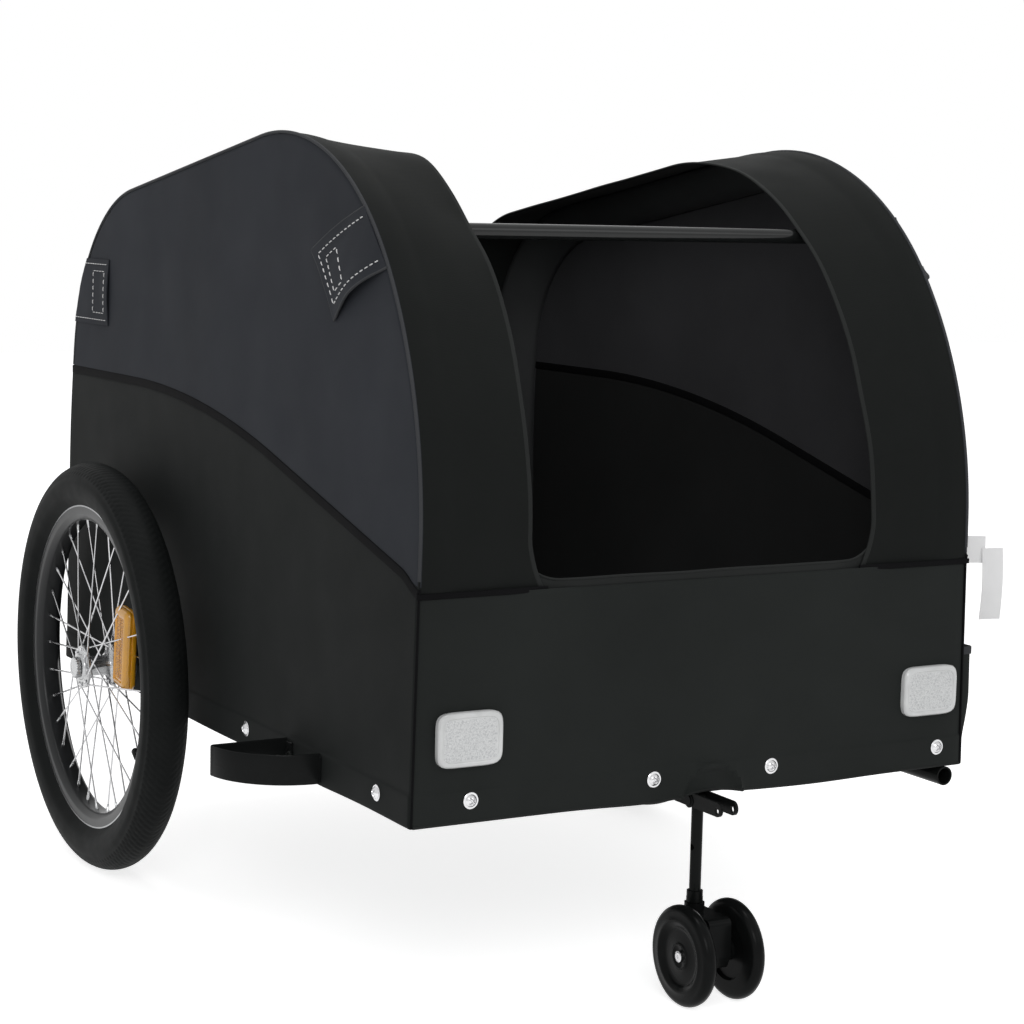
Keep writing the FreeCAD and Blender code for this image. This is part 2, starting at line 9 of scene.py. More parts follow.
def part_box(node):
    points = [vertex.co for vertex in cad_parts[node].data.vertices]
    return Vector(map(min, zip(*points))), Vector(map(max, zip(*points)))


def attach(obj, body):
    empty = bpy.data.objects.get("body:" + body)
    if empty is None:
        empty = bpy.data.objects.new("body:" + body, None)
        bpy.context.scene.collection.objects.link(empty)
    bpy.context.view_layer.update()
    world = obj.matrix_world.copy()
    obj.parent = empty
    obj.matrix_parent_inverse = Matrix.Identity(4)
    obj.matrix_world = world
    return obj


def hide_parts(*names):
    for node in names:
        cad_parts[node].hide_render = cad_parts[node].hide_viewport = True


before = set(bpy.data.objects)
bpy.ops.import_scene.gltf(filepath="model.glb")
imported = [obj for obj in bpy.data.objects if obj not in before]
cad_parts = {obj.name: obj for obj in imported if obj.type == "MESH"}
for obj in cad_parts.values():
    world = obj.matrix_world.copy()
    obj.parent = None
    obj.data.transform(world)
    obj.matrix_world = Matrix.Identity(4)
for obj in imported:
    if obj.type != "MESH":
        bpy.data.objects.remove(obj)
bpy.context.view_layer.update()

# ---------------------------------------------------------------- sizes
# Lengths are in millimetres in the trailer's own measures: y = 0 is the front panel's face,
# z = 0 the ground, +X the trailer's left. place() turns them into the frame's metres.
MM = 0.001
FRONT_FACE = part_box("front_panel")[0][1]
HALF_WIDTH = 275.0
HEM = 174.0
LENGTH = 795.0
HEIGHT = 716.0
SEAM = 356.5
LEAN = math.tan(math.radians(1.03))
CLOTH = 1.2
BAND = 101.0
BAND_DROP = 14.0
BAND_BACK = 4.0
REAR_REACH = 690.0
HEM_FOLD = 27.0
WHEEL = Vector((311.0, 602.0, 200.0))
CASTOR = Vector((0.0, -14.0, 42.5))
PIVOT = Vector((0.0, 8.5, 168.0))

# outline of the side: arc radii and turns, front to rear
FRONT_RADIUS, FRONT_TURN = 365.0, 35.8
CROWN_RADIUS, TOP_FALL = 264.0, 8.8
SHOULDER_RADIUS, SHOULDER_TURN = 184.0, 73.4
REAR_RADIUS = 900.0

# wave-shaped seam between the upper and lower side
WAVE_REAR, WAVE_FRONT = 479.0, 364.0
WAVE_RADIUS, WAVE_TURN = 1330.0, 14.6

SIDES = (("left", 1), ("right", -1))


def place(x, y, z):
    return Vector((x * MM, FRONT_FACE + y * MM, z * MM))


def smooth(a, b, t):
    """0 before a and 1 after b, or the other way round where a is the larger."""
    t = min(1.0, max(0.0, (t - a) / (b - a)))
    return t * t * (3 - 2 * t)


def side_x(z):
    """Half width of the body at a height, to the outer face of the side."""
    return HALF_WIDTH - LEAN * (z - HEM)


def ripple(x, y, z, size, seed=0.0):
    """Smooth unevenness of cloth, from -1 to 1, with lumps of the given size."""
    return noise.noise(Vector((x / size + seed, y / size - seed, z / size + 2 * seed)))


# ---------------------------------------------------------------- outline
def outline_points(step=6.0):
    """Points (y, z, normal y, normal z) along the outline, from the front foot to the rear foot."""
    crown_z = HEIGHT - CROWN_RADIUS
    turn = math.radians(FRONT_TURN)
    front = (FRONT_RADIUS, crown_z - (FRONT_RADIUS - CROWN_RADIUS) * math.sin(turn))
    crown = (FRONT_RADIUS - (FRONT_RADIUS - CROWN_RADIUS) * math.cos(turn), crown_z)
    fall = 90 - TOP_FALL
    end = fall - SHOULDER_TURN
    rear_y = LENGTH - REAR_RADIUS
    shoulder_y = rear_y + (REAR_RADIUS - SHOULDER_RADIUS) * math.cos(math.radians(end))
    slope = math.radians(TOP_FALL)
    run = shoulder_y - crown[0]
    shoulder_z = crown_z + (CROWN_RADIUS - SHOULDER_RADIUS - run * math.sin(slope)) / math.cos(slope)
    rear_z = shoulder_z - (REAR_RADIUS - SHOULDER_RADIUS) * math.sin(math.radians(end))
    arcs = (
        (front, FRONT_RADIUS, 180.0, 180.0 - FRONT_TURN),
        (crown, CROWN_RADIUS, 180.0 - FRONT_TURN, fall),
        ((shoulder_y, shoulder_z), SHOULDER_RADIUS, fall, end),
        ((rear_y, rear_z), REAR_RADIUS, end, 0.0),
    )
    points = [(0.0, HEM, -1.0, 0.0)]

    def straight(y, z):
        last = points[-1]
        length = math.hypot(y - last[0], z - last[1])
        if length < 1:
            return
        count = max(1, round(length / step))
        n = ((last[1] - z) / length, (y - last[0]) / length)
        for i in range(1, count + 1):
            t = i / count
            points.append((last[0] + (y - last[0]) * t, last[1] + (z - last[1]) * t, n[0], n[1]))

    for (cy, cz), radius, start, stop in arcs:
        a = math.radians(start)
        straight(cy + radius * math.cos(a), cz + radius * math.sin(a))
        count = max(2, round(radius * math.radians(start - stop) / step))
        for i in range(1, count + 1):
            a = math.radians(start + (stop - start) * i / count)
            points.append((cy + radius * math.cos(a), cz + radius * math.sin(a), math.cos(a), math.sin(a)))
    straight(LENGTH, HEM)
    return points


OUTLINE = outline_points()


def wave(y):
    """Height of the wave seam at y."""
    turn = math.radians(WAVE_TURN)
    sag = WAVE_RADIUS * (1 - math.cos(turn))
    arc_end = (WAVE_REAR - WAVE_FRONT - sag) / math.tan(turn)
    arc_start = arc_end + WAVE_RADIUS * math.sin(turn)
    if y >= arc_start:
        return WAVE_REAR
    if y <= arc_end:
        return WAVE_FRONT + y * math.tan(turn)
    return WAVE_REAR - WAVE_RADIUS + math.sqrt(WAVE_RADIUS ** 2 - (arc_start - y) ** 2)


def outline_at_height(z, rear=False):
    """y of the outline at a height, on its front or its rear."""
    points = OUTLINE[::-1] if rear else OUTLINE
    for a, b in zip(points, points[1:]):
        if a[1] <= z <= b[1] and a[1] != b[1]:
            return a[0] + (b[0] - a[0]) * (z - a[1]) / (b[1] - a[1])
    return points[0][0]


# ---------------------------------------------------------------- materials
def material(name, color, roughness=0.5, metallic=0.0, **sockets):
    mat = bpy.data.materials.new(name)
    mat.use_nodes = True
    shader = mat.node_tree.nodes["Principled BSDF"]
    shader.inputs["Base Color"].default_value = (*color, 1)
    shader.inputs["Roughness"].default_value = roughness
    shader.inputs["Metallic"].default_value = metallic
    for key, value in sockets.items():
        shader.inputs[key.replace("_", " ")].default_value = value
    return mat


def add_node(mat, kind, **inputs):
    node = mat.node_tree.nodes.new(kind)
    for key, value in inputs.items():
        node.inputs[key.replace("_", " ")].default_value = value
    return node


def link(mat, a, b):
    mat.node_tree.links.new(a, b)


def coordinates(mat, scale=(1, 1, 1)):
    """Object coordinates, in metres, scaled."""
    coord = mat.node_tree.nodes.new("ShaderNodeTexCoord")
    mapping = add_node(mat, "ShaderNodeMapping", Scale=scale)
    link(mat, coord.outputs["Object"], mapping.inputs["Vector"])
    return mapping.outputs["Vector"]


def noise_output(mat, vector, scale, detail=3.0, roughness=0.55):
    node = add_node(mat, "ShaderNodeTexNoise", Scale=scale, Detail=detail, Roughness=roughness)
    link(mat, vector, node.inputs["Vector"])
    return node.outputs["Fac"]


def math_node(mat, operation, a, b):
    node = mat.node_tree.nodes.new("ShaderNodeMath")
    node.operation = operation
    for socket, value in zip(node.inputs, (a, b)):
        if isinstance(value, (int, float)):
            socket.default_value = value
        else:
            link(mat, value, socket)
    return node.outputs[0]


def color_between(mat, factor, low, high, start=0.3, stop=0.7):
    """Colour from low to high as the factor goes from start to stop."""
    ramp = mat.node_tree.nodes.new("ShaderNodeValToRGB")
    ramp.color_ramp.elements[0].position = start
    ramp.color_ramp.elements[1].position = stop
    ramp.color_ramp.elements[0].color = (*low, 1)
    ramp.color_ramp.elements[1].color = (*high, 1)
    link(mat, factor, ramp.inputs["Fac"])
    link(mat, ramp.outputs["Color"], mat.node_tree.nodes["Principled BSDF"].inputs["Base Color"])


def roughness_between(mat, factor, low, high):
    node = add_node(mat, "ShaderNodeMapRange")
    node.inputs["To Min"].default_value = low
    node.inputs["To Max"].default_value = high
    link(mat, factor, node.inputs["Value"])
    link(mat, node.outputs["Result"], mat.node_tree.nodes["Principled BSDF"].inputs["Roughness"])


def bump(mat, height, strength, distance):
    node = add_node(mat, "ShaderNodeBump", Strength=strength, Distance=distance)
    link(mat, height, node.inputs["Height"])
    link(mat, node.outputs["Normal"], mat.node_tree.nodes["Principled BSDF"].inputs["Normal"])


def wave_output(mat, vector, direction, scale):
    node = add_node(mat, "ShaderNodeTexWave", Scale=scale)
    node.wave_type = "BANDS"
    node.bands_direction = direction
    link(mat, vector, node.inputs["Vector"])
    return node.outputs["Fac"]


def scaled(color, factor):
    return tuple(c * factor for c in color)


def cloth(name, color, sheen=0.01, roughness=0.68, pitch=1.1):
    """Coated plain weave: crossed threads, uneven dye and a soft sheen."""
    mat = material(name, color, roughness, Sheen_Weight=sheen, Sheen_Roughness=0.45, Specular_IOR_Level=0.08)
    vector = coordinates(mat)
    threads = 0.314 / (pitch * MM)
    rows = [wave_output(mat, vector, direction, threads) for direction in "XYZ"]
    weave = math_node(mat, "ADD", math_node(mat, "ADD", rows[0], rows[1]), rows[2])
    slub = noise_output(mat, coordinates(mat, (1, 1, 6)), 900.0, 2.0)
    height = math_node(mat, "ADD", weave, math_node(mat, "MULTIPLY", slub, 0.8))
    bump(mat, height, 0.25, 0.12 * MM)
    broad = noise_output(mat, vector, 7.0, 4.0)
    color_between(mat, broad, scaled(color, 0.88), scaled(color, 1.12))
    roughness_between(mat, noise_output(mat, vector, 22.0), roughness - 0.06, roughness + 0.08)
    return mat


def coated(name, color, roughness, grain=260.0, depth=0.05, **sockets):
    """Painted or moulded surface with faint orange peel and uneven gloss."""
    mat = material(name, color, roughness, **sockets)
    vector = coordinates(mat)
    bump(mat, noise_output(mat, vector, grain, 3.0), 0.25, depth * MM)
    roughness_between(mat, noise_output(mat, vector, 30.0, 4.0), roughness * 0.8, roughness * 1.25)
    color_between(mat, noise_output(mat, vector, 45.0), scaled(color, 0.9), scaled(color, 1.1))
    return mat


def bright_metal(name, color, roughness, brushed="X"):
    """Bright metal with fine brushing lines."""
    mat = material(name, color, roughness, 1.0)
    stretch = {"X": (30, 600, 600), "Y": (600, 30, 600), "Z": (600, 600, 30)}[brushed]
    lines = noise_output(mat, coordinates(mat, stretch), 1.0, 3.0)
    bump(mat, lines, 0.12, 0.05 * MM)
    roughness_between(mat, lines, roughness * 0.75, roughness * 1.3)
    color_between(mat, noise_output(mat, coordinates(mat), 60.0), scaled(color, 0.9), scaled(color, 1.05))
    return mat


BLACK = (0.0165, 0.0186, 0.0178)
CHARCOAL = (0.0260, 0.0285, 0.0345)
M = {
    "black_cloth": cloth("black_cloth", BLACK),
    # Backs of the side and band cloth: lighter than their faces as a coated back, and lightened further as painted
    # light for the dim inside of the body.
    "black_inside_painted_light": cloth("black_inside_painted_light", (0.0215, 0.022, 0.022)),
    "charcoal_inside_painted_light": cloth("charcoal_inside_painted_light", (0.058, 0.058, 0.062)),
    "band_inside_painted_light": cloth("band_inside_painted_light", (0.045, 0.047, 0.047)),
    # Lower side: the same black fabric as the front, made darker as painted shade for the side that takes less light.
    "side_cloth": cloth("side_cloth", (0.0080, 0.0093, 0.0090)),
    # Arch bands: the same black fabric again, made darker still as painted shade for the bands' dimmer faces.
    "band_cloth": cloth("band_cloth", (0.0074, 0.0084, 0.0080)),
    # Hoop sleeve lightened to match the lightened backs: painted light inside the arch.
    "sleeve_cloth_painted_light": cloth("sleeve_cloth_painted_light", (0.052, 0.054, 0.055)),
    "charcoal_cloth": cloth("charcoal_cloth", CHARCOAL),
    # Binding lighter than the cloth it edges, so each rolled edge shows as a thin bright line: painted highlight.
    "binding": cloth("binding", (0.05, 0.052, 0.056), sheen=0.02, pitch=0.8),
    "free_edge": cloth("free_edge", (0.02, 0.0215, 0.021), pitch=0.8),
    "piping": cloth("piping", (0.003, 0.003, 0.0035), sheen=0.0, roughness=0.8, pitch=0.8),
        "thread_white": cloth("thread_white", (0.8, 0.8, 0.8), sheen=0.2, pitch=0.5),
    "ribbon": cloth("ribbon", (0.88, 0.88, 0.885), sheen=0.2, roughness=0.4, pitch=0.5),
    "frame_paint": coated("frame_paint", (0.0068, 0.0075, 0.0073), 0.24, Specular_IOR_Level=0.05),
    "guard_plastic": coated("guard_plastic", (0.0085, 0.0092, 0.0092), 0.26, Specular_IOR_Level=0.06),
    "castor_plastic": coated("castor_plastic", (0.0065, 0.007, 0.007), 0.24, Specular_IOR_Level=0.05),
    "floor_plastic": coated("floor_plastic", (0.02, 0.02, 0.022), 0.55, 500.0, 0.25),
    "rim_black": coated("rim_black", (0.02, 0.021, 0.022), 0.3, Specular_IOR_Level=0.2),
    "bright_steel": bright_metal("bright_steel", (0.62, 0.62, 0.63), 0.22),
    "spoke_steel": bright_metal("spoke_steel", (0.56, 0.56, 0.57), 0.24, "Y"),
    "hub_alloy": bright_metal("hub_alloy", (0.43, 0.435, 0.44), 0.26),
}


def rubber():
    mat = material("tyre_rubber", (0.0072, 0.0082, 0.0080), 0.66, Specular_IOR_Level=0.07)
    vector = coordinates(mat)
    bump(mat, noise_output(mat, vector, 700.0, 4.0), 0.35, 0.12 * MM)
    color_between(mat, noise_output(mat, vector, 25.0), (0.0062, 0.0071, 0.0070), (0.0092, 0.0101, 0.0100))
    roughness_between(mat, noise_output(mat, vector, 60.0), 0.52, 0.72)
    return mat


def lens_material(name, color, prism_shade, cell):
    """Moulded reflector plastic over a field of small prisms, each painted bright in its middle and darker towards its
    edge: painted glints and painted shade.
    """
    mat = material(name, color, 0.16, Coat_Weight=0.4, Coat_Roughness=0.08)
    vector = coordinates(mat)
    prisms = mat.node_tree.nodes.new("ShaderNodeTexVoronoi")
    prisms.inputs["Scale"].default_value = 1.0 / (cell * MM)
    link(mat, vector, prisms.inputs["Vector"])
    bump(mat, prisms.outputs["Distance"], 0.4, 0.3 * MM)
    # Painted glint in the middle of each prism cell, painted shade towards its edge.
    color_between(mat, prisms.outputs["Distance"], color, prism_shade, 0.25, 0.85)
    return mat


M["tyre_rubber"] = rubber()
M["rim_edge"] = bright_metal("rim_edge", (0.30, 0.305, 0.31), 0.3, "X")
M["clear_lens"] = lens_material("clear_lens", (0.76, 0.77, 0.772), (0.52, 0.53, 0.54), 1.3)
M["amber_lens"] = lens_material("amber_lens", (0.86, 0.42, 0.015), (0.34, 0.11, 0.004), 1.6)
M["red_lens"] = lens_material("red_lens", (0.40, 0.005, 0.004), (0.20, 0.002, 0.002), 1.3)
M["red_lens"].node_tree.nodes["Principled BSDF"].inputs["Coat Weight"].default_value = 0.05
M["red_lens"].node_tree.nodes["Principled BSDF"].inputs["Specular IOR Level"].default_value = 0.15


# ---------------------------------------------------------------- building pieces
class Build:
    """Collects the vertices and faces of one piece, in the trailer's millimetres."""

    def __init__(self):
        self.verts = []
        self.faces = []
        self.slots = []

    def add(self, verts, faces, slot=0):
        start = len(self.verts)
        self.verts += [Vector(v) for v in verts]
        self.faces += [tuple(start + i for i in face) for face in faces]
        self.slots += [slot] * len(faces)

    def piece(self, name, materials, body="chassis", replaces=(), smooth=35.0, outward=None):
        """The finished object; materials are names, and outward a point that an open sheet faces away from."""
        mesh = bpy.data.meshes.new(name)
        mesh.from_pydata([place(*v) for v in self.verts], [], self.faces)
        for key in materials:
            mesh.materials.append(M[key])
        mesh.polygons.foreach_set("material_index", self.slots)
        mesh.update()
        turn_outward(mesh, outward)
        mesh.shade_smooth()
        mesh.set_sharp_from_angle(angle=math.radians(smooth))
        obj = bpy.data.objects.new(name, mesh)
        bpy.context.collection.objects.link(obj)
        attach(obj, body)
        if replaces:
            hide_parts(*replaces)
        return obj


def turn_outward(mesh, outward):
    """Faces of closed parts point out; an open sheet's point away from the given place."""
    bm = bmesh.new()
    bm.from_mesh(mesh)
    bmesh.ops.recalc_face_normals(bm, faces=bm.faces)
    if outward is not None:
        centre = place(*outward)
        total = sum((f.calc_center_median() - centre).normalized().dot(f.normal) * f.calc_area() for f in bm.faces)
        if total < 0:
            bmesh.ops.reverse_faces(bm, faces=bm.faces)
    bm.to_mesh(mesh)
    bm.free()


def grid_faces(rows, cols, wrap_rows=False, wrap_cols=False):
    faces = []
    for i in range(rows if wrap_rows else rows - 1):
        for j in range(cols if wrap_cols else cols - 1):
            i2, j2 = (i + 1) % rows, (j + 1) % cols
            faces.append((i * cols + j, i * cols + j2, i2 * cols + j2, i2 * cols + j))
    return faces


def round_section(radius, count=10, flat=1.0):
    return [(radius * math.cos(2 * math.pi * i / count), flat * radius * math.sin(2 * math.pi * i / count))
            for i in range(count)]


def strip_section(width, thick, corner=None, count=3):
    """Rounded rectangle, width along the first direction and thickness along the second."""
    corner = min(width, thick) / 2 if corner is None else corner
    points = []
    for cx, cy, start in ((1, 1, 0), (-1, 1, 90), (-1, -1, 180), (1, -1, 270)):
        for i in range(count + 1):
            a = math.radians(start + 90 * i / count)
            points.append((cx * (width / 2 - corner) + corner * math.cos(a),
                           cy * (thick / 2 - corner) + corner * math.sin(a)))
    return points


def sweep(build, path, section, across, slot=0, closed=False, scales=None):
    """Carries a section along a path; across gives the section's first direction at each point."""
    path = [Vector(p) for p in path]
    verts = []
    for i, point in enumerate(path):
        before = path[i - 1] if i or closed else path[i]
        after = path[(i + 1) % len(path)] if i + 1 < len(path) or closed else path[i]
        along = (after - before).normalized()
        first = Vector(across(i) if callable(across) else across)
        first = (first - along * first.dot(along)).normalized()
        second = along.cross(first)
        scale = scales[i] if scales else 1.0
        verts += [point + (first * a + second * b) * scale for a, b in section]
    faces = grid_faces(len(path), len(section), wrap_rows=closed, wrap_cols=True)
    if not closed:
        faces.append(tuple(range(len(section))))
        faces.append(tuple(reversed(range(len(verts) - len(section), len(verts)))))
    build.add(verts, faces, slot)


def lathe(build, profile, centre, axis, count=64, slot=0, closed=True, ripple_of=None):
    """Turns a profile of (distance along the axis, radius) about an axis through centre."""
    axis = Vector(axis).normalized()
    side = axis.orthogonal().normalized()
    up = axis.cross(side)
    centre = Vector(centre)
    verts = []
    for i in range(count):
        a = 2 * math.pi * i / count
        spoke = side * math.cos(a) + up * math.sin(a)
        for k, (along, radius) in enumerate(profile):
            extra = ripple_of(a, k) if ripple_of else 0.0
            verts.append(centre + axis * along + spoke * (radius + extra))
    build.add(verts, grid_faces(count, len(profile), wrap_rows=True, wrap_cols=closed), slot)


def resample(path, spacing):
    """Points along a path at an even spacing."""
    path = [Vector(p) for p in path]
    places = [0.0]
    for a, b in zip(path, path[1:]):
        places.append(places[-1] + (b - a).length)
    count = max(1, int(places[-1] / spacing))
    result = []
    k = 0
    for i in range(count + 1):
        s = places[-1] * i / count
        while k < len(path) - 2 and places[k + 1] < s:
            k += 1
        t = (s - places[k]) / max(1e-9, places[k + 1] - places[k])
        result.append(path[k].lerp(path[k + 1], min(1.0, max(0.0, t))))
    return result


def stitches(build, path, out, slot=0, length=4.2, gap=2.7, radius=0.42):
    """A row of separate thread stitches along a path, lying on the cloth that faces out."""
    points = resample(path, length + gap)
    for a, b in zip(points, points[1:]):
        run = (b - a)
        start = a + run * (gap / 2 / (length + gap))
        end = b - run * (gap / 2 / (length + gap))
        lie = Vector(out(start) if callable(out) else out).normalized()
        steps = [start - lie * 0.5, start.lerp(end, 0.2) + lie * 0.12,
                 start.lerp(end, 0.8) + lie * 0.12, end - lie * 0.5]
        sweep(build, steps, round_section(radius, 6), lie, slot, scales=[0.6, 1.0, 1.0, 0.6])


def stiffened(obj, thick=CLOTH):
    """Gives a sheet its cloth thickness, inwards; a second material, where there is one, is its coated back, lighter
    than the face, and part of that lightness is painted light for the dim inside of the body.
    """
    wall = obj.modifiers.new("cloth", "SOLIDIFY")
    wall.thickness = thick * MM
    wall.offset = -1
    wall.material_offset = len(obj.data.materials) - 1
    return obj


BODY_CENTRE = (0.0, 400.0, 400.0)


# ---------------------------------------------------------------- side panels
def side_shift(y, z, seed):
    """How far the stretched side cloth stands out of its plane."""
    return 1.1 * ripple(y, z, 0, 150.0, seed) + 0.45 * ripple(y, z, 0, 48.0, seed + 3)


def upper_side(side, name):
    start_y, end_y = 0.0, outline_at_height(WAVE_REAR, rear=True)
    arc = [(start_y, WAVE_FRONT)]
    arc += [(y, z) for y, z, _, _ in OUTLINE if z > wave(y) + 2]
    arc.append((end_y, WAVE_REAR))
    lengths = [0.0]
    for a, b in zip(arc, arc[1:]):
        lengths.append(lengths[-1] + math.dist(a, b))
    rows = 46
    verts = []
    for (y, z), run in zip(arc, lengths):
        share = run / lengths[-1]
        low_y = 0.35 * y + 0.65 * (start_y + (end_y - start_y) * share)
        low_z = wave(low_y)
        height = math.dist((y, z), (low_y, low_z))
        for i in range(rows):
            t = 0.5 - 0.5 * math.cos(math.pi * i / (rows - 1))
            py, pz = low_y + (y - low_y) * t, low_z + (z - low_z) * t
            edge = min(t, 1 - t) * height
            hold = smooth(0, 30, edge)
            x = side_x(pz) - 1.3 * (1 - smooth(0, 6, (1 - t) * height)) + hold * side_shift(py, pz, 1.7 + side)
            verts.append((side * x, py, pz))
    build = Build()
    build.add(verts, grid_faces(len(arc), rows))
    return stiffened(build.piece(f"upper_side_cloth_{name}", ["charcoal_cloth", "charcoal_inside_painted_light"],
                                 replaces=[f"upper_side_panel_{name}"], outward=BODY_CENTRE))


def lower_side(side, name):
    cols = 150
    fixed = [0.0, 0.8, 2.0, 6.0, 12.0, 18.0, 23.0, 25.6, 26.2, 27.4, 29.0, 34.0]
    rows = fixed + [34.0 + i for i in range(1, 40)]
    verts = []
    for j in range(cols):
        share = j / (cols - 1)
        y0 = LENGTH * share
        for i in range(len(rows)):
            if i < len(fixed):
                above = fixed[i]
            else:
                above = 34.0 + (wave(y0) - HEM - 34.0) * (i - len(fixed) + 1) / (len(rows) - len(fixed))
            z = HEM + above
            y = outline_at_height(z) * (1 - share) + outline_at_height(z, rear=True) * share
            hold = smooth(0, 30, min(y, LENGTH - y, wave(y) - z))
            fold = 0.9 * (1 - smooth(25.6, 27.4, above)) - 0.6 * (1 - smooth(0, 1.2, above))
            x = side_x(z) + fold + hold * side_shift(y, z, 5.3 + side)
            sag = 1.6 * ripple(y, 0, 0, 120.0, 9 + side) * (1 - smooth(0, 30, above))
            verts.append((side * x, y, z + sag))
    faces = []
    for face in grid_faces(cols, len(rows)):
        middle = sum((Vector(verts[k]) for k in face), Vector()) / 4
        if math.hypot(middle.y - WHEEL.y, middle.z - WHEEL.z) > 12.5:
            faces.append(face)
    build = Build()
    build.add(verts, faces)
    return stiffened(build.piece(f"lower_side_cloth_{name}", ["side_cloth", "black_inside_painted_light"],
                                 replaces=[f"lower_side_panel_{name}"], outward=BODY_CENTRE))


def axle_grommet(side, name):
    """Pressed ring where the axle comes through the side cloth."""
    build = Build()
    profile = [(-2.4, 10.2), (-2.4, 17.0), (-1.4, 18.0), (0.9, 18.0), (1.9, 17.0), (2.2, 13.5), (1.9, 10.6),
               (1.2, 10.2)]
    lathe(build, profile, (side * side_x(WHEEL.z), WHEEL.y, WHEEL.z), (side, 0, 0), 64)
    build.piece(f"axle_grommet_{name}", ["frame_paint"])


# ---------------------------------------------------------------- arch bands
def band_flare(y, z):
    """The free edge runs inwards to its foot on the front panel."""
    if y > 150:
        return 0.0
    q = min(1.0, max(0.0, (410.0 - z) / (410.0 - SEAM)))
    return 20.0 * q ** 1.5


def band_points():
    points = [(outline_at_height(SEAM), SEAM, -1.0, 0.0)]
    points += [p for p in OUTLINE if p[1] > SEAM + 1 and p[0] < REAR_REACH]
    last = next(p for p in OUTLINE if p[0] >= REAR_REACH)
    before = points[-1]
    t = (REAR_REACH - before[0]) / (last[0] - before[0])
    points.append((REAR_REACH, before[1] + (last[1] - before[1]) * t, last[2], last[3]))
    return points


def band_at(side, point, t, lift=0.0):
    """Point on the band: t = 0 at the seam with the side, 1 at the free edge; lift along the normal."""
    y, z, ny, nz = point
    reach = BAND + band_flare(y, z) + 1.8 * ripple(side * 90, y, z, 55.0, 14.0) * smooth(SEAM, SEAM + 20, z)
    ridge = math.exp(-((y - 205) / 34) ** 2) - 0.7 * math.exp(-((y - 120) / 30) ** 2)
    crown = 1.2 * math.sin(math.pi * min(1.0, t / 0.3))
    wrinkle = 0.8 * ripple(side * 50 * t, y, z, 90.0, 2.2) + 0.3 * ripple(side * 100 * t, y, z, 30.0, 6.1)
    off = (crown + wrinkle) * smooth(0, 0.06, t) * smooth(0, 0.07, 1 - t)
    off += lift + (5.5 if side < 0 else 1.5) * ridge * smooth(0.35, 1.0, t) * smooth(600, 640, z)
    return Vector((side * (side_x(z) - reach * t), y + BAND_BACK * t + ny * off, z - BAND_DROP * t + nz * off))


def arch_band(side, name):
    points = band_points()
    cols = 34
    shares = [j / (cols - 1) for j in range(cols)]
    verts = [band_at(side, p, t) for p in points for t in shares]
    build = Build()
    build.add(verts, grid_faces(len(points), cols))
    return stiffened(build.piece(f"arch_band_cloth_{name}", ["band_cloth", "band_inside_painted_light"],
                                 replaces=[f"arch_band_{name}"], outward=BODY_CENTRE))


def hoop_sleeve(side, name):
    """Sewn sleeve inside the arch that hides the hoop, from the side wall to the band's underside."""
    wall, roof, count = 37.0, 38.0, 12
    verts = []
    points = [p for p in OUTLINE if p[1] > 214.0]
    for y, z, ny, nz in points:
        low = Vector((-1.6, 0.0, 0.0)) + Vector((0.0, -ny, -nz)) * wall
        drop = Vector((0.0, BAND_BACK, -BAND_DROP)) * (roof / BAND)
        high = Vector((-roof, 0.0, 0.0)) + drop - Vector((0.0, ny, nz)) * 2.0
        chord = (high - low).normalized()
        inward = Vector((-1.0, -ny, -nz))
        inward = (inward - chord * inward.dot(chord)).normalized()
        for i in range(count):
            t = i / (count - 1)
            p = low.lerp(high, t) + inward * 7.5 * math.sin(math.pi * t) ** 0.8
            p += inward * 0.5 * ripple(y, z, 40 * t, 40.0, 21)
            verts.append((side * (side_x(z) + p.x), y + p.y, z + p.z))
    build = Build()
    build.add(verts, grid_faces(len(points), count))
    sleeve = stiffened(build.piece(f"hoop_sleeve_{name}", ["sleeve_cloth_painted_light"], outward=BODY_CENTRE))
    build = Build()
    edge = [Vector(v) for v in verts[::count] if v[1] > 600 and 300 < v[2] < 600]
    sweep(build, edge, round_section(1.1, 8), (1, 0, 0))
    return sleeve, [build.piece(f"hoop_sleeve_seam_{name}", ["binding"])]


def seams(side, name):
    """Piping and bindings that finish the edges of one side."""
    build = Build()
    wave_path = []
    steps = 150
    for i in range(steps + 1):
        y = 0.5 + (outline_at_height(WAVE_REAR, rear=True) - 1.0) * i / steps
        low = wave(y) - 6.0 * (1 - smooth(0, 30, y))
        wave_path.append((side * (side_x(low) - 0.6), y, low))
    sweep(build, wave_path, strip_section(8.0, 3.0, 0.8), (0, 0, 1))
    piping = build.piece(f"wave_piping_{name}", ["piping"])
    edges = []
    for key, radius, above in (("edge_binding", 1.4, True), ("corner_seam", 1.1, False)):
        build = Build()
        start = 0
        while start < len(OUTLINE):
            stop = start
            while stop < len(OUTLINE) and (OUTLINE[stop][1] > wave(OUTLINE[stop][0])) == above:
                stop += 1
            if stop - start > 1:
                run = [(side * (side_x(z) - 0.7), y - 0.5 * ny, z - 0.5 * nz) for y, z, ny, nz in OUTLINE[start:stop]]
                sweep(build, run, round_section(radius, 10), (1, 0, 0))
            start = max(stop, start + 1)
        edges.append(build.piece(f"{key}_{name}", ["binding" if above else "piping"]))
    build = Build()
    seam = [(side * (273.5 - 118.5 * i / 40), -0.4 + 2.2 * smooth(26, 40, i), SEAM) for i in range(41)]
    sweep(build, seam, strip_section(4.5, 1.8, 0.6), (0, 0, 1))
    edges.append(build.piece(f"front_seam_tape_{name}", ["piping"]))
    build = Build()
    points = band_points()
    free = [band_at(side, p, 1.0, -0.6) + Vector((side * 1.2, 0, 0)) for p in points]
    sweep(build, free, strip_section(4.5, 2.2), (side, 0, 0))
    opening = build.piece(f"opening_binding_{name}", ["free_edge"])
    return piping, edges, opening


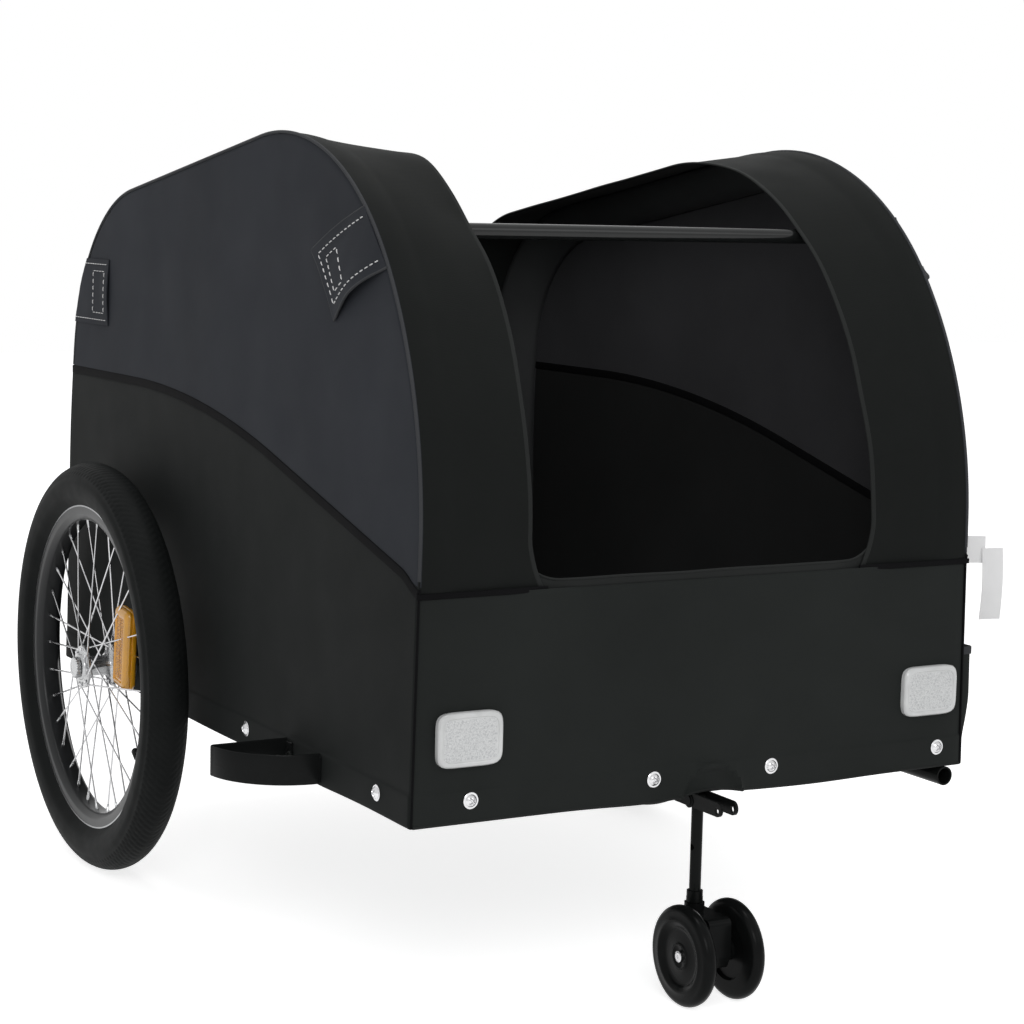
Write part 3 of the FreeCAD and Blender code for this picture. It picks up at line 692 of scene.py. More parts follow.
# ---------------------------------------------------------------- front and rear
def hem_line(x):
    """Height of the front hem, which sags a little between its screws."""
    sag = -2.0 * math.exp(-((x + 57) / 48) ** 2) - 1.5 * math.exp(-((x - 110) / 60) ** 2)
    return HEM + sag + 3.0 * math.exp(-((x - 6) / 24) ** 2)


def front_shift(x, z):
    """How far the front cloth stands out: slight unevenness, creases near the hem, a fold over the bracket."""
    lift = 0.9 * ripple(x, 0, z, 130.0, 8.8) + 0.5 * ripple(x, 0, z, 40.0, 3.1)
    lift += 1.5 * max(0.0, ripple(x, 0, 2.6 * z, 46.0, 6.6) - 0.1) * smooth(300, 200, z)
    crease = HEM + 46 - 0.02 * x + 2.0 * ripple(x, 0, 0, 90.0, 15)
    lift += 0.9 * math.exp(-((z - crease) / 3.0) ** 2) * (0.55 + 0.45 * ripple(x, 0, 0, 70.0, 16))
    lift *= smooth(0, 20, min(SEAM - z, side_x(z) - abs(x), z - HEM))
    q = math.hypot((x - 6) / 30, (z - HEM) / 25)
    return lift + 4.2 * math.exp(-((q - 1) / 0.09) ** 2) - 1.8 * smooth(0.95, 0.7, q)


def front_cloth():
    cols = 150
    fixed = [0.0, 0.8, 2.0, 6.0, 12.0, 18.0, 23.0, 25.6, 26.2, 27.4, 29.0, 34.0]
    high = 36
    verts = []
    for j in range(cols):
        share = 2 * j / (cols - 1) - 1
        for i in range(len(fixed) + high):
            x0 = share * HALF_WIDTH
            low = hem_line(x0)
            squeeze = (HEM + 34 - low) / 34.0
            if i < len(fixed):
                above = fixed[i]
                z = low + above * squeeze
            else:
                above = 40.0
                z = HEM + 34 + (SEAM - HEM - 34) * (i - len(fixed) + 1) / high
            x = share * side_x(z)
            fold = 0.9 * (1 - smooth(25.6, 27.4, above)) - 0.6 * (1 - smooth(0, 1.2, above))
            corner = 1.6 * (1 - smooth(0, 6, side_x(z) - abs(x)))
            verts.append((x, corner - fold - front_shift(x, z), z))
    build = Build()
    build.add(verts, grid_faces(cols, len(fixed) + high))
    return stiffened(build.piece("front_cloth", ["black_cloth"],
                                 replaces=["front_panel"], outward=BODY_CENTRE))


def rear_points():
    start = next(i for i, p in enumerate(OUTLINE) if p[0] > REAR_REACH)
    before, after = OUTLINE[start - 1], OUTLINE[start]
    t = (REAR_REACH - before[0]) / (after[0] - before[0])
    return [(REAR_REACH, before[1] + (after[1] - before[1]) * t, after[2], after[3])] + OUTLINE[start:]


def rear_slack(x, y):
    """How far the free front edge of the rear panel hangs down between the bands."""
    return 9.0 * (1 - (abs(x) / HALF_WIDTH) ** 6) * (1 - smooth(0, 45, y - REAR_REACH))


def rear_cloth():
    points = rear_points()
    cols = 90
    verts = []
    for y, z, ny, nz in points:
        for j in range(cols):
            x = (2 * j / (cols - 1) - 1) * side_x(z)
            hold = smooth(0, 40, side_x(z) - abs(x)) * smooth(0, 30, y - REAR_REACH + abs(700 - z)) * smooth(0, 20, z - HEM)
            off = hold * (1.6 * ripple(x, y, z, 160.0, 4.4) + 0.8 * ripple(x, y, z, 50.0, 7.7))
            off += 0.9 * (1 - smooth(25.0, 28.0, z - HEM))
            off -= 1.6 * (1 - smooth(0, 6, side_x(z) - abs(x)))
            slack = rear_slack(x, y) if z > 500 else 0.0
            verts.append((x, y + ny * off, z + nz * off - slack))
    build = Build()
    build.add(verts, grid_faces(len(points), cols))
    return stiffened(build.piece("rear_cloth", ["black_cloth"],
                                 replaces=["rear_panel"], outward=BODY_CENTRE))


def front_hem_top(x):
    """Height of the front panel's top edge, turned up in a round corner behind each band."""
    q = min(1.0, max(0.0, (abs(x) - 142.0) / 32.0))
    return SEAM + 6.5 + 24.0 * (1 - math.sqrt(1 - q * q)) + 0.5 * ripple(x, 0, 0, 60.0, 3)


def opening_hems():
    """Turned-up top edge of the front panel, and bound front edge of the rear panel."""
    build = Build()
    xs = [-184.0 + 368.0 * i / 160 for i in range(161)]
    edge = [Vector((x, 1.2 + 6.2 * smooth(120, 176, abs(x)), front_hem_top(x))) for x in xs]
    foot = [Vector((x, 1.0 + 5.8 * smooth(120, 176, abs(x)), SEAM - 3)) for x in xs]
    front = [low.lerp(high, t) for low, high in zip(foot, edge) for t in (0.0, 0.25, 0.5, 0.75, 1.0)]
    back = [v + Vector((0, 1.2, 0)) for v in front]
    closed_sheet(build, front, back, len(xs), 5, grid_faces(len(xs), 5))
    sweep(build, edge, round_section(1.1, 8), (0, 0, 1))
    y, z, _, _ = rear_points()[0]
    rear = []
    for i in range(61):
        share = 2 * i / 60 - 1
        drop = rear_slack(share * side_x(z), y)
        rear.append((share * (side_x(z) - 4), y + 2, z - 1.3 - drop))
    sweep(build, rear, strip_section(8.0, 2.4), (0, 1, 0))
    return build.piece("opening_hems", ["free_edge"])


def bottom_binding():
    """Folded bottom edge round the body."""
    build = Build()
    edge = [(x, -0.2 - front_shift(x, hem_line(x) + 1), hem_line(x) + 0.8)
            for x in [-273 + 546 * i / 150 for i in range(151)]]
    sweep(build, edge, round_section(1.3, 8), (0, 1, 0))
    for side, _ in ((1, 0), (-1, 0)):
        edge = []
        for i in range(121):
            y = 2 + (LENGTH - 4) * i / 120
            edge.append((side * (side_x(HEM) - 0.4), y, HEM + 0.8 + 1.6 * ripple(y, 0, 0, 120.0, 9 + side)))
        sweep(build, edge, round_section(1.3, 8), (1, 0, 0))
    return build.piece("bottom_binding", ["free_edge"])


# ---------------------------------------------------------------- flaps, pocket and label
def front_flap_at(side, a, b, lift=0.0):
    """Point on a front flap: a from its lower to its upper corner on the seam, b out to the free end."""
    low, high = Vector((70.0, 607.0)), Vector((113.0, 654.0))
    low_end, high_end = Vector((162.0, 561.0)), Vector((209.0, 617.0))
    start, end = low.lerp(high, a), low_end.lerp(high_end, a)
    p = start.lerp(end, b)
    up = (high - low).normalized()
    out = (end - start).normalized()
    p += up * 5.0 * math.sin(math.pi * b) * (1 - a) ** 2
    p += up * 2.5 * math.sin(math.pi * b) * a ** 2
    p -= out * 5.5 * math.sin(math.pi * a) * b ** 3
    stand = 1.0 + 6.5 * (1 - a) ** 1.6 * math.sin(math.pi * b) ** 1.2 + 2.0 * b * (1 - abs(2 * a - 1)) ** 0.8
    stand += 16.0 * math.sin(math.pi * min(1.0, b / 0.4)) * (1 - 0.7 * a) if side > 0 else 0.0
    stand += 0.5 * ripple(p.x, p.y, 0, 22.0, 12)
    return Vector((side * (side_x(p.y) + stand + 0.6 + lift), p.x, p.y))


def front_flap(side, name):
    build = Build()
    count = 22
    steps = [i / (count - 1) for i in range(count)]
    verts = [front_flap_at(side, a, b) for a in steps for b in steps]
    back = [Vector((v.x - side * 1.9, v.y, v.z)) for v in verts]
    closed_sheet(build, verts, back, count, count, grid_faces(count, count))
    flap = build.piece(f"front_flap_cloth_{name}", ["charcoal_cloth"], replaces=["front_flaps"])
    build = Build()
    for start, end in (
        ((0.15, 0.05), (0.13, 0.91)),
        ((0.87, 0.05), (0.87, 0.91)),
        ((0.13, 0.91), (0.87, 0.91)),
        ((0.24, 0.62), (0.74, 0.58)),
        ((0.24, 0.62), (0.24, 0.82)),
        ((0.74, 0.58), (0.74, 0.80)),
        ((0.24, 0.82), (0.74, 0.80)),
    ):
        line = []
        for i in range(25):
            t = i / 24
            a, b = start[0] + (end[0] - start[0]) * t, start[1] + (end[1] - start[1]) * t
            line.append(front_flap_at(side, a, b, 0.2))
        stitches(build, line, (side, 0, 0), radius=0.5)
    thread = build.piece(f"front_flap_stitches_{name}", ["thread_white"])
    build = Build()
    edge = [(0.0, i / 20) for i in range(20)] + [(i / 12, 1.0) for i in range(12)] + [(1.0, 1 - i / 20) for i in range(21)]
    rolled = [front_flap_at(side, a, b, -0.9) for a, b in edge]
    sweep(build, rolled, round_section(1.15, 8), (1, 0, 0))
    roll = build.piece(f"front_flap_edge_{name}", ["binding"])
    return flap, [thread, roll]


def closed_sheet(build, front, back, rows, cols, faces):
    """Both faces of a thick sheet and its edge all round."""
    count = len(front)
    edge = [j for j in range(cols)]
    edge += [i * cols + cols - 1 for i in range(1, rows)]
    edge += [(rows - 1) * cols + j for j in range(cols - 2, -1, -1)]
    edge += [i * cols for i in range(rows - 2, 0, -1)]
    rim = []
    for a, b in zip(edge, edge[1:] + edge[:1]):
        rim.append((a, a + count, b + count, b))
    behind = [tuple(count + k for k in reversed(face)) for face in faces]
    build.add(front + back, list(faces) + behind + rim)


def rear_flap_length(z):
    """Length of the flap at a height: along the side to the corner, then 33 mm across the back."""
    return outline_at_height(z, rear=True) - 688.0 + 33.0


def rear_flap_at(side, run, z, lift=0.0):
    """Point on a rear flap: run in millimetres from its front edge, along the side and round the corner."""
    off = 1.3 + lift + 0.5 * ripple(run, z, 0, 30.0, 15 + side)
    off += max(0.0, side_shift(687.0 + run, z, 1.7 + side)) * smooth(0, 20, 120.0 - run)
    off += 1.8 * (1 - smooth(0, 26, run)) * math.sin(math.pi * (z - 529) / 66)
    y_end = outline_at_height(z, rear=True)
    flat = y_end - 687.0 - 1.0
    turn = 3.0 + lift
    if run <= flat:
        return Vector((side * (side_x(z) + off), 687.0 + run, z))
    bend = turn * math.pi / 2
    if run <= flat + bend:
        a = (run - flat) / turn
        return Vector((side * (side_x(z) + off - turn * (1 - math.cos(a))), 687.0 + flat + turn * math.sin(a), z))
    return Vector((side * (side_x(z) + off - turn - (run - flat - bend)), 687.0 + flat + turn, z))


def rear_flap(side, name):
    build = Build()
    rows, cols = 14, 72
    verts = []
    for i in range(rows):
        z = 529.0 + 66.0 * i / (rows - 1)
        verts += [rear_flap_at(side, rear_flap_length(z) * j / (cols - 1), z) for j in range(cols)]
    back = []
    for v in verts:
        behind = v.y > outline_at_height(v.z, rear=True) + 0.5
        back.append(Vector((v.x - side * (0.0 if behind else 1.1), v.y - (1.1 if behind else 0.0), v.z)))
    closed_sheet(build, verts, back, rows, cols, grid_faces(rows, cols))
    flap = build.piece(f"rear_flap_cloth_{name}", ["charcoal_cloth"], replaces=["rear_flaps"])
    build = Build()
    ends = [rear_flap_length(z) - 5 for z in (534, 590)]
    for low, high, start, end in ((534, 534, 4, ends[0]), (590, 590, 4, ends[1]), (541, 583, 9, 9),
                                  (541, 583, 42, 42), (541, 541, 9, 42), (583, 583, 9, 42)):
        line = []
        for i in range(31):
            t = i / 30
            line.append(rear_flap_at(side, start + (end - start) * t, low + (high - low) * t, 0.4))
        stitches(build, line, (side, 0, 0), radius=0.45)
    thread = build.piece(f"rear_flap_stitches_{name}", ["thread_white"])
    return flap, [thread]


def flag_pocket():
    """Sleeve for a flag pole, sewn to the side by its two long edges."""
    build = Build()
    count = 28

    def ring(z, depth, shrink):
        base = side_x(z) + 0.2
        loop = []
        for i in range(count):
            a = 2 * math.pi * i / count
            y = 21.5 + (16.5 - shrink) * math.copysign(abs(math.cos(a)) ** 0.3, math.cos(a))
            rise = max(0.0, math.sin(a)) ** 0.3
            x = base + shrink * 0.4 + (depth - 1.4 * shrink) * rise
            loop.append(Vector((x, y + 0.3 * ripple(y, z, 0, 20.0, 2), z)))
        return loop

    verts = []
    rows = []
    for i in range(31):
        z = 183.0 + 95.0 * i / 30
        depth = 4.0 + 10.0 * smooth(-10, 55, z - 183.0) + 0.5 * ripple(z, 0, 0, 18.0, 5)
        rows.append(ring(z, depth, 0.0))
    rows.append(ring(278.6, 13.6, 0.7))
    rows.append(ring(278.2, 13.4, 1.4))
    for i in range(12):
        rows.append(ring(277.0 - 5.0 * i, 13.0 - 0.3 * i, 1.9))
    for loop in rows:
        verts += loop
    faces = grid_faces(len(rows), count, wrap_cols=True)
    faces.append(tuple(range(count)))
    faces.append(tuple(reversed(range(len(verts) - count, len(verts)))))
    build.add(verts, faces)
    pocket = build.piece("flag_pocket_cloth", ["black_cloth"], replaces=["flag_pocket"])
    build = Build()
    top = ring(275.0, 14.0, -0.5)
    sweep(build, top, strip_section(7.0, 1.6), (0, 0, 1), closed=True)
    for y in (10.0, 36.0):
        line = [(side_x(z) + 1.2, y, z) for z in range(186, 276, 3)]
        stitches(build, line, (1, 0, 0))
    trim = build.piece("flag_pocket_trim", ["binding"])
    return pocket, [trim]


def label():
    """Blank ribbon: an arm out of the corner seam, and the length that hangs from it."""
    build = Build()
    wall = side_x(366.0)
    cols, rows = 14, 24
    arm = []
    for i in range(rows):
        z = 354.0 + 24.0 * i / (rows - 1)
        for j in range(cols):
            u = j / (cols - 1)
            x = wall - 1 + 26.5 * u
            arm.append(Vector((x, 5.0 + 0.9 * math.sin(2.6 * u) + 0.3 * u * math.sin(z * 0.2), z - 1.5 * u)))
    closed_sheet(build, arm, [v + Vector((0, 0.5, 0)) for v in arm], rows, cols, grid_faces(rows, cols))
    hang = []
    for i in range(rows):
        v = i / (rows - 1)
        for j in range(cols):
            u = j / (cols - 1)
            x = wall + 21.0 + 24.0 * u + 0.8 * math.sin(math.pi * v)
            y = 4.2 - 1.6 * math.sin(math.pi * v) * (1 - 0.4 * u) + 0.7 * math.sin(math.pi * u)
            hang.append(Vector((x, y, 366.0 - 64.0 * v - 0.8 * u)))
    closed_sheet(build, hang, [v + Vector((0, 0.5, 0)) for v in hang], rows, cols, grid_faces(rows, cols))
    return build.piece("label_ribbon", ["ribbon"], replaces=["blank_label"])


# ---------------------------------------------------------------- small hardware
def pan_screw(build, at, out, radius=5.2, washer=6.8):
    """Cross-recessed pan head screw on a washer."""
    out = Vector(out).normalized()
    side = out.orthogonal().normalized()
    up = out.cross(side)
    at = Vector(at)
    lathe(build, [(0.0, 2.5), (0.0, washer), (0.5, washer), (0.8, washer - 0.4), (0.9, 2.5)], at, out, 40)
    rings, count = 9, 40
    verts = [at + out * 3.6]
    for r in range(1, rings + 1):
        reach = radius * r / rings
        high = 0.9 + 2.9 * (1 - (reach / radius) ** 2.6)
        for i in range(count):
            a = 2 * math.pi * i / count
            u, v = reach * math.cos(a), reach * math.sin(a)
            cross = min(abs(u), abs(v)) < 0.75 and max(abs(u), abs(v)) < 2.9
            verts.append(at + side * u + up * v + out * (high - (1.3 if cross else 0.0)))
    verts[0] = at + out * 2.3
    faces = [(0, 1 + i, 1 + (i + 1) % count) for i in range(count)]
    for r in range(rings - 1):
        a, b = 1 + r * count, 1 + (r + 1) * count
        faces += [(a + i, b + i, b + (i + 1) % count, a + (i + 1) % count) for i in range(count)]
    start = len(verts)
    verts += [at + side * radius * math.cos(2 * math.pi * i / count)
              + up * radius * math.sin(2 * math.pi * i / count) + out * 0.6 for i in range(count)]
    last = 1 + (rings - 1) * count
    faces += [(last + i, start + i, start + (i + 1) % count, last + (i + 1) % count) for i in range(count)]
    faces.append(tuple(start + i for i in range(count)))
    build.add(verts, faces)


def body_screws():
    build = Build()
    z = 190.5
    for x in (-222.5, -51.0, 67.5, 246.0):
        pan_screw(build, (x, -1.1 - front_shift(x, z + 1.5), z + 1.5), (0.02, -1, 0.01))
    for x in (-242.0, -67.0, 50.0, 225.0):
        pan_screw(build, (x, LENGTH + 1.2, z), (0.0, 1, 0.02))
    for _, side in SIDES:
        for y in (58.0, 318.0, 470.0, 740.0):
            shift = side_shift(y, z, 5.3 + side) * smooth(0, 30, z - HEM)
            pan_screw(build, (side * (side_x(z) + 1.0 + shift), y, z), (side, 0.02, 0.01))
    return build.piece("body_screws", ["bright_steel"])


def rounded_loop(width, height, corner, inset=0.0, count=6):
    half_w, half_h = width / 2 - inset, height / 2 - inset
    corner = max(1.0, corner - inset * 0.8)
    loop = []
    for cx, cz, start in ((1, 1, 0), (-1, 1, 90), (-1, -1, 180), (1, -1, 270)):
        for i in range(count + 1):
            a = math.radians(start + 90 * i / count)
            loop.append((cx * (half_w - corner) + corner * math.cos(a), cz * (half_h - corner) + corner * math.sin(a)))
    return loop


def lens_loop(width, height, inset):
    """Outline of a lens: a rectangle with round corners and slightly swelling sides."""
    loop = []
    for i in range(64):
        a = math.radians(360 * i / 64)
        across, up = math.cos(a), math.sin(a)
        reach = (abs(across / (width / 2 - inset)) ** 6 + abs(up / (height / 2 - inset)) ** 6) ** (-1 / 6)
        loop.append((across * reach, up * reach))
    return loop


def lens(build, x0, z0, face_y, out, depth):
    """Moulded reflector: raised border round a field of small hexagonal prisms."""
    width, height = 58.5, 44.0
    loops = ((0.0, 0.0), (depth - 2.2, 0.0), (depth - 1.1, 0.5), (depth - 0.3, 1.3), (depth, 2.4), (depth, 3.6),
             (depth - 0.3, 4.2), (depth - 1.2, 4.6))
    verts = []
    for rise, inset in loops:
        verts += [Vector((x0 + u, face_y + out * rise, z0 + v)) for u, v in lens_loop(width, height, inset)]
    count = len(verts) // len(loops)
    faces = grid_faces(len(loops), count, wrap_cols=True)
    faces.append(tuple(range(count)))
    faces.append(tuple(reversed(range(len(verts) - count, len(verts)))))
    build.add(verts, faces, 0)
    pitch = 3.4
    level = depth - 1.25
    for row in range(-6, 7):
        for col in range(-9, 10):
            u = (col + (0.5 if row % 2 else 0.0)) * pitch
            v = row * pitch * math.sqrt(3) / 2
            if abs(u) > width / 2 - 6.4 or abs(v) > height / 2 - 6.4 or abs(u) + abs(v) > 40.5:
                continue
            ring = [(u + 0.56 * pitch * math.cos(math.radians(60 * k + 30)),
                     v + 0.56 * pitch * math.sin(math.radians(60 * k + 30))) for k in range(6)]
            hexagon = [Vector((x0 + a, face_y + out * level, z0 + b)) for a, b in ring]
            hexagon.append(Vector((x0 + u, face_y + out * (level + 0.75), z0 + v)))
            build.add(hexagon, [(k, (k + 1) % 6, 6) for k in range(6)] + [tuple(reversed(range(6)))], 1)


def lamps():
    build = Build()
    for x, z in ((-225.5, 242.0), (233.5, 244.0)):
        lens(build, x, z, -0.3, -1, 6.0)
    build.piece("front_lenses", ["clear_shell", "clear_lens"],
                replaces=["front_reflectors"], smooth=25)
    build = Build()
    for x in (-215.0, 215.0):
        lens(build, x, 243.5, LENGTH + 0.3, 1, 5.0)
    build.piece("rear_lenses", ["red_shell", "red_lens"], replaces=["rear_reflectors"], smooth=25)


def guard(side, name):
    """Strip bent to a quarter round ahead of the wheel, with its two screws."""
    build = Build()
    wall = side_x(187.0)
    path = []
    for i in range(33):
        a = math.pi / 2 * i / 32
        path.append((side * (wall + 70.5 * math.sin(a)), 234.0 - 68.5 * math.cos(a) - 0.0, 187.0))
    path = [p for p in path if p[1] < 228.0]
    for i in range(9):
        a = math.pi / 2 * i / 8
        path.append((side * (wall + 70.5 - 4 * (1 - math.cos(a))), 228.5 + 4 * math.sin(a), 187.0))
    for i in range(1, 17):
        path.append((side * (wall + 66.5 - 66.5 * i / 16), 232.5, 187.0))
    sweep(build, path, strip_section(26.0, 3.0, 1.1, 3), (0, 0, 1))
    for z in (179.5, 194.5):
        rib = [(x, y, z) for x, y, _ in path[2:-2]]
        sweep(build, rib, round_section(0.9, 8), (0, 0, 1), closed=False)
    for y, wide in ((168.0, 7.0), (226.0, 7.0)):
        tab = [(side * (wall + 0.8), y - wide, 187.0), (side * (wall + 1.8), y, 187.0),
               (side * (wall + 1.8), y + wide * 0.6, 187.0)]
        sweep(build, tab, strip_section(22.0, 2.2, 0.9), (0, 0, 1))
    build.piece(f"wheel_guard_strip_{name}", ["guard_plastic"], replaces=[f"wheel_guard_{name}"])
    build = Build()
    for y in (176.0, 222.0):
        pan_screw(build, (side * (wall + 1.9), y, 187.0), (side, 0, 0), 3.8, 5.0)
    build.piece(f"wheel_guard_screws_{name}", ["frame_paint"])


# ---------------------------------------------------------------- main wheels
def tyre_profile():
    """Section of the tyre: angle round the section from the tread's middle, plain sidewalls, beads in the rim."""
    angles = [4.0 * i for i in range(-16, 17)]
    sides = [-142, -134, -126, -118, -110, -102, -94, -86, -78, -71]
    return sides + angles + [-a for a in reversed(sides)]


def tyre(side, name):
    section, middle = 22.5, 177.5
    angles = tyre_profile()
    blocks = 170
    steps = 6 * blocks
    centre = Vector((side * WHEEL.x, WHEEL.y, WHEEL.z))
    verts = []
    for i in range(steps):
        turn = 2 * math.pi * i / steps
        for degrees in angles:
            a = math.radians(degrees)
            radius = section
            if abs(degrees) <= 66:
                phase = (i / 6.0 + 0.9 * abs(degrees) / 20.0) % 1.0
                groove = phase < 0.34 and 7 < abs(degrees) < 60
                ring = abs(abs(degrees) - 28) < 3 or abs(abs(degrees) - 48) < 2.5
                rib = abs(degrees) < 5 and (i % 3 == 0)
                radius -= 0.4 if groove or ring else (0.2 if rib else 0.0)
                radius -= 0.9 * smooth(58, 66, abs(degrees))
            else:
                radius -= 0.9
                radius += 0.5 if abs(abs(degrees) - 78) < 2 or abs(abs(degrees) - 118) < 2 else 0.0
            reach = middle + radius * math.cos(a)
            x = radius * math.sin(a)
            verts.append(centre + Vector((x, reach * math.cos(turn), reach * math.sin(turn))))
        for x, reach in ((10.0, 155.5), (9.0, 152.6), (-9.0, 152.6), (-10.0, 155.5)):
            verts.append(centre + Vector((x, reach * math.cos(turn), reach * math.sin(turn))))
    build = Build()
    build.add(verts, grid_faces(steps, len(angles) + 4, wrap_rows=True, wrap_cols=True))
    build.piece(f"tyre_tread_{name}", ["tyre_rubber"], f"{name}_wheel",
                replaces=[f"tyre_{name}"], smooth=28)


def rim(side, name):
    centre = (side * WHEEL.x, WHEEL.y, WHEEL.z)
    profile = [(-12.0, 158.0), (-11.5, 158.7), (-10.5, 158.6), (-10.0, 158.0), (-10.0, 152.0), (-9.4, 151.7),
               (9.4, 151.7), (10.0, 152.0), (10.0, 158.0), (10.5, 158.6), (11.5, 158.7), (12.0, 158.0),
               (12.0, 150.4), (11.6, 149.2), (9.0, 145.2), (7.6, 144.1), (5.5, 143.9), (-5.5, 143.9),
               (-7.6, 144.1), (-9.0, 145.2), (-11.6, 149.2), (-12.0, 150.4)]
    build = Build()
    lathe(build, profile, centre, (1, 0, 0), 240)
    build.piece(f"rim_hoop_{name}", ["rim_black"], f"{name}_wheel", replaces=[f"rim_{name}"])
    build = Build()
    for end in (-1, 1):
        edge = [(end * 12.05, 158.5), (end * 11.6, 159.0), (end * 10.8, 159.0), (end * 10.6, 158.2),
                (end * 12.1, 157.2)]
        lathe(build, edge, centre, (1, 0, 0), 240)
    build.piece(f"rim_edge_{name}", ["rim_edge"], f"{name}_wheel")


def wheel_point(side, x, radius, degrees):
    a = math.radians(degrees)
    return Vector((side * (WHEEL.x + x), WHEEL.y + radius * math.cos(a), WHEEL.z + radius * math.sin(a)))


def spokes(side, name):
    """32 tangent spokes in three-cross lacing, with bent heads at the flange and nipples at the rim."""
    build = Build()
    nipples = Build()
    pitch = 360.0 / 32
    for index in range(32):
        flange = 1 if index % 2 == 0 else -1
        lacing = 1 if (index // 2) % 2 == 0 else -1
        rim_angle = index * pitch
        hub_angle = rim_angle + lacing * 6 * pitch
        hole_x = flange * 15.0
        head = wheel_point(side, hole_x - lacing * 2.3, 17.5, hub_angle)
        elbow = wheel_point(side, hole_x + lacing * 1.6, 17.6, hub_angle)
        leave = wheel_point(side, hole_x + lacing * 1.9, 17.5, hub_angle)
        end = wheel_point(side, 0.0, 145.0, rim_angle)
        run = (end - leave).normalized()
        path = [head, head.lerp(elbow, 0.6), elbow + run * 0.5, leave + run * 2.0]
        path += [leave.lerp(end, t) for t in (0.06, 0.3, 0.6, 0.9, 0.97)]
        sweep(build, path, round_section(0.86, 8), (0.3, 0.2, 1))
        away = (head - elbow).normalized()
        lathe(build, [(0.0, 0.9), (0.1, 1.9), (0.6, 1.8), (0.9, 0.9), (0.9, 0.05), (0.0, 0.05)], head, away, 12)
        lathe(nipples, [(-9.0, 0.9), (-8.7, 1.2), (-5.5, 1.25), (-5.1, 1.5), (-1.0, 1.5), (0.6, 1.9),
                        (0.9, 0.9)], end, run, 8)
    build.piece(f"spoke_set_{name}", ["spoke_steel"], f"{name}_wheel",
                replaces=[f"spokes_{name}"])
    nipples.piece(f"spoke_nipples_{name}", ["hub_alloy"], f"{name}_wheel")


def hub(side, name):
    centre = (side * WHEEL.x, WHEEL.y, WHEEL.z)
    half = [(0.0, 9.6), (4.0, 9.6), (9.0, 10.2), (12.2, 11.6), (13.3, 13.4), (13.5, 20.2), (13.9, 20.9),
            (16.0, 20.9), (16.5, 20.3), (16.6, 13.8), (17.2, 12.7), (18.6, 12.2), (19.4, 11.4), (19.5, 10.4),
            (19.1, 9.7), (18.9, 6.4), (19.3, 6.1)]
    profile = [(-a, r) for a, r in reversed(half)] + half[1:]
    build = Build()
    lathe(build, profile, centre, (1, 0, 0), 96)
    build.piece(f"hub_shell_{name}", ["hub_alloy"], f"{name}_wheel", replaces=[f"hub_{name}"])
    # axle with its collar inboard and a ribbed push button outboard
    build = Build()
    out = (side, 0, 0)
    base = (side * WHEEL.x, WHEEL.y, WHEEL.z)
    lathe(build, [(19.9, 6.0), (19.9, 9.4), (20.3, 9.9), (24.2, 9.9), (24.9, 9.3), (25.0, 6.6), (24.4, 6.0),
                  (24.3, 3.0), (24.8, 2.4), (24.9, 0.05), (19.9, 0.05)], base, out, 144,
          ripple_of=lambda a, k: 0.45 * math.cos(24 * a) if k in (2, 3) else 0.0)
    inboard = side_x(WHEEL.z) - WHEEL.x - 3.0
    lathe(build, [(-19.8, 6.0), (-19.8, 8.7), (-20.3, 9.1), (-27.0, 9.1), (-27.4, 8.4), (-28.4, 8.4),
                  (-28.8, 9.1), (inboard, 9.1), (inboard, 6.0)], base, out, 72)
    build.piece(f"axle_button_{name}", ["hub_alloy"])


def valve(side, name):
    """Tyre valve between two spokes, with its cap."""
    angle = 212.0
    base = wheel_point(side, 0.0, 144.5, angle)
    inward = (wheel_point(side, 0.0, 0.0, angle) - base).normalized()
    build = Build()
    lathe(build, [(-1.0, 0.1), (-1.0, 3.6), (0.8, 3.6), (1.4, 2.9), (14.0, 2.6), (14.4, 0.1)], base, inward, 20)
    lathe(build, [(12.8, 0.1), (12.8, 3.3), (13.3, 3.6), (23.5, 3.4), (24.8, 2.6), (25.0, 0.1)], base, inward, 48,
          ripple_of=lambda a, k: 0.22 * math.cos(12 * a) if k in (2, 3) else 0.0)
    build.piece(f"valve_{name}", ["guard_plastic"], f"{name}_wheel")


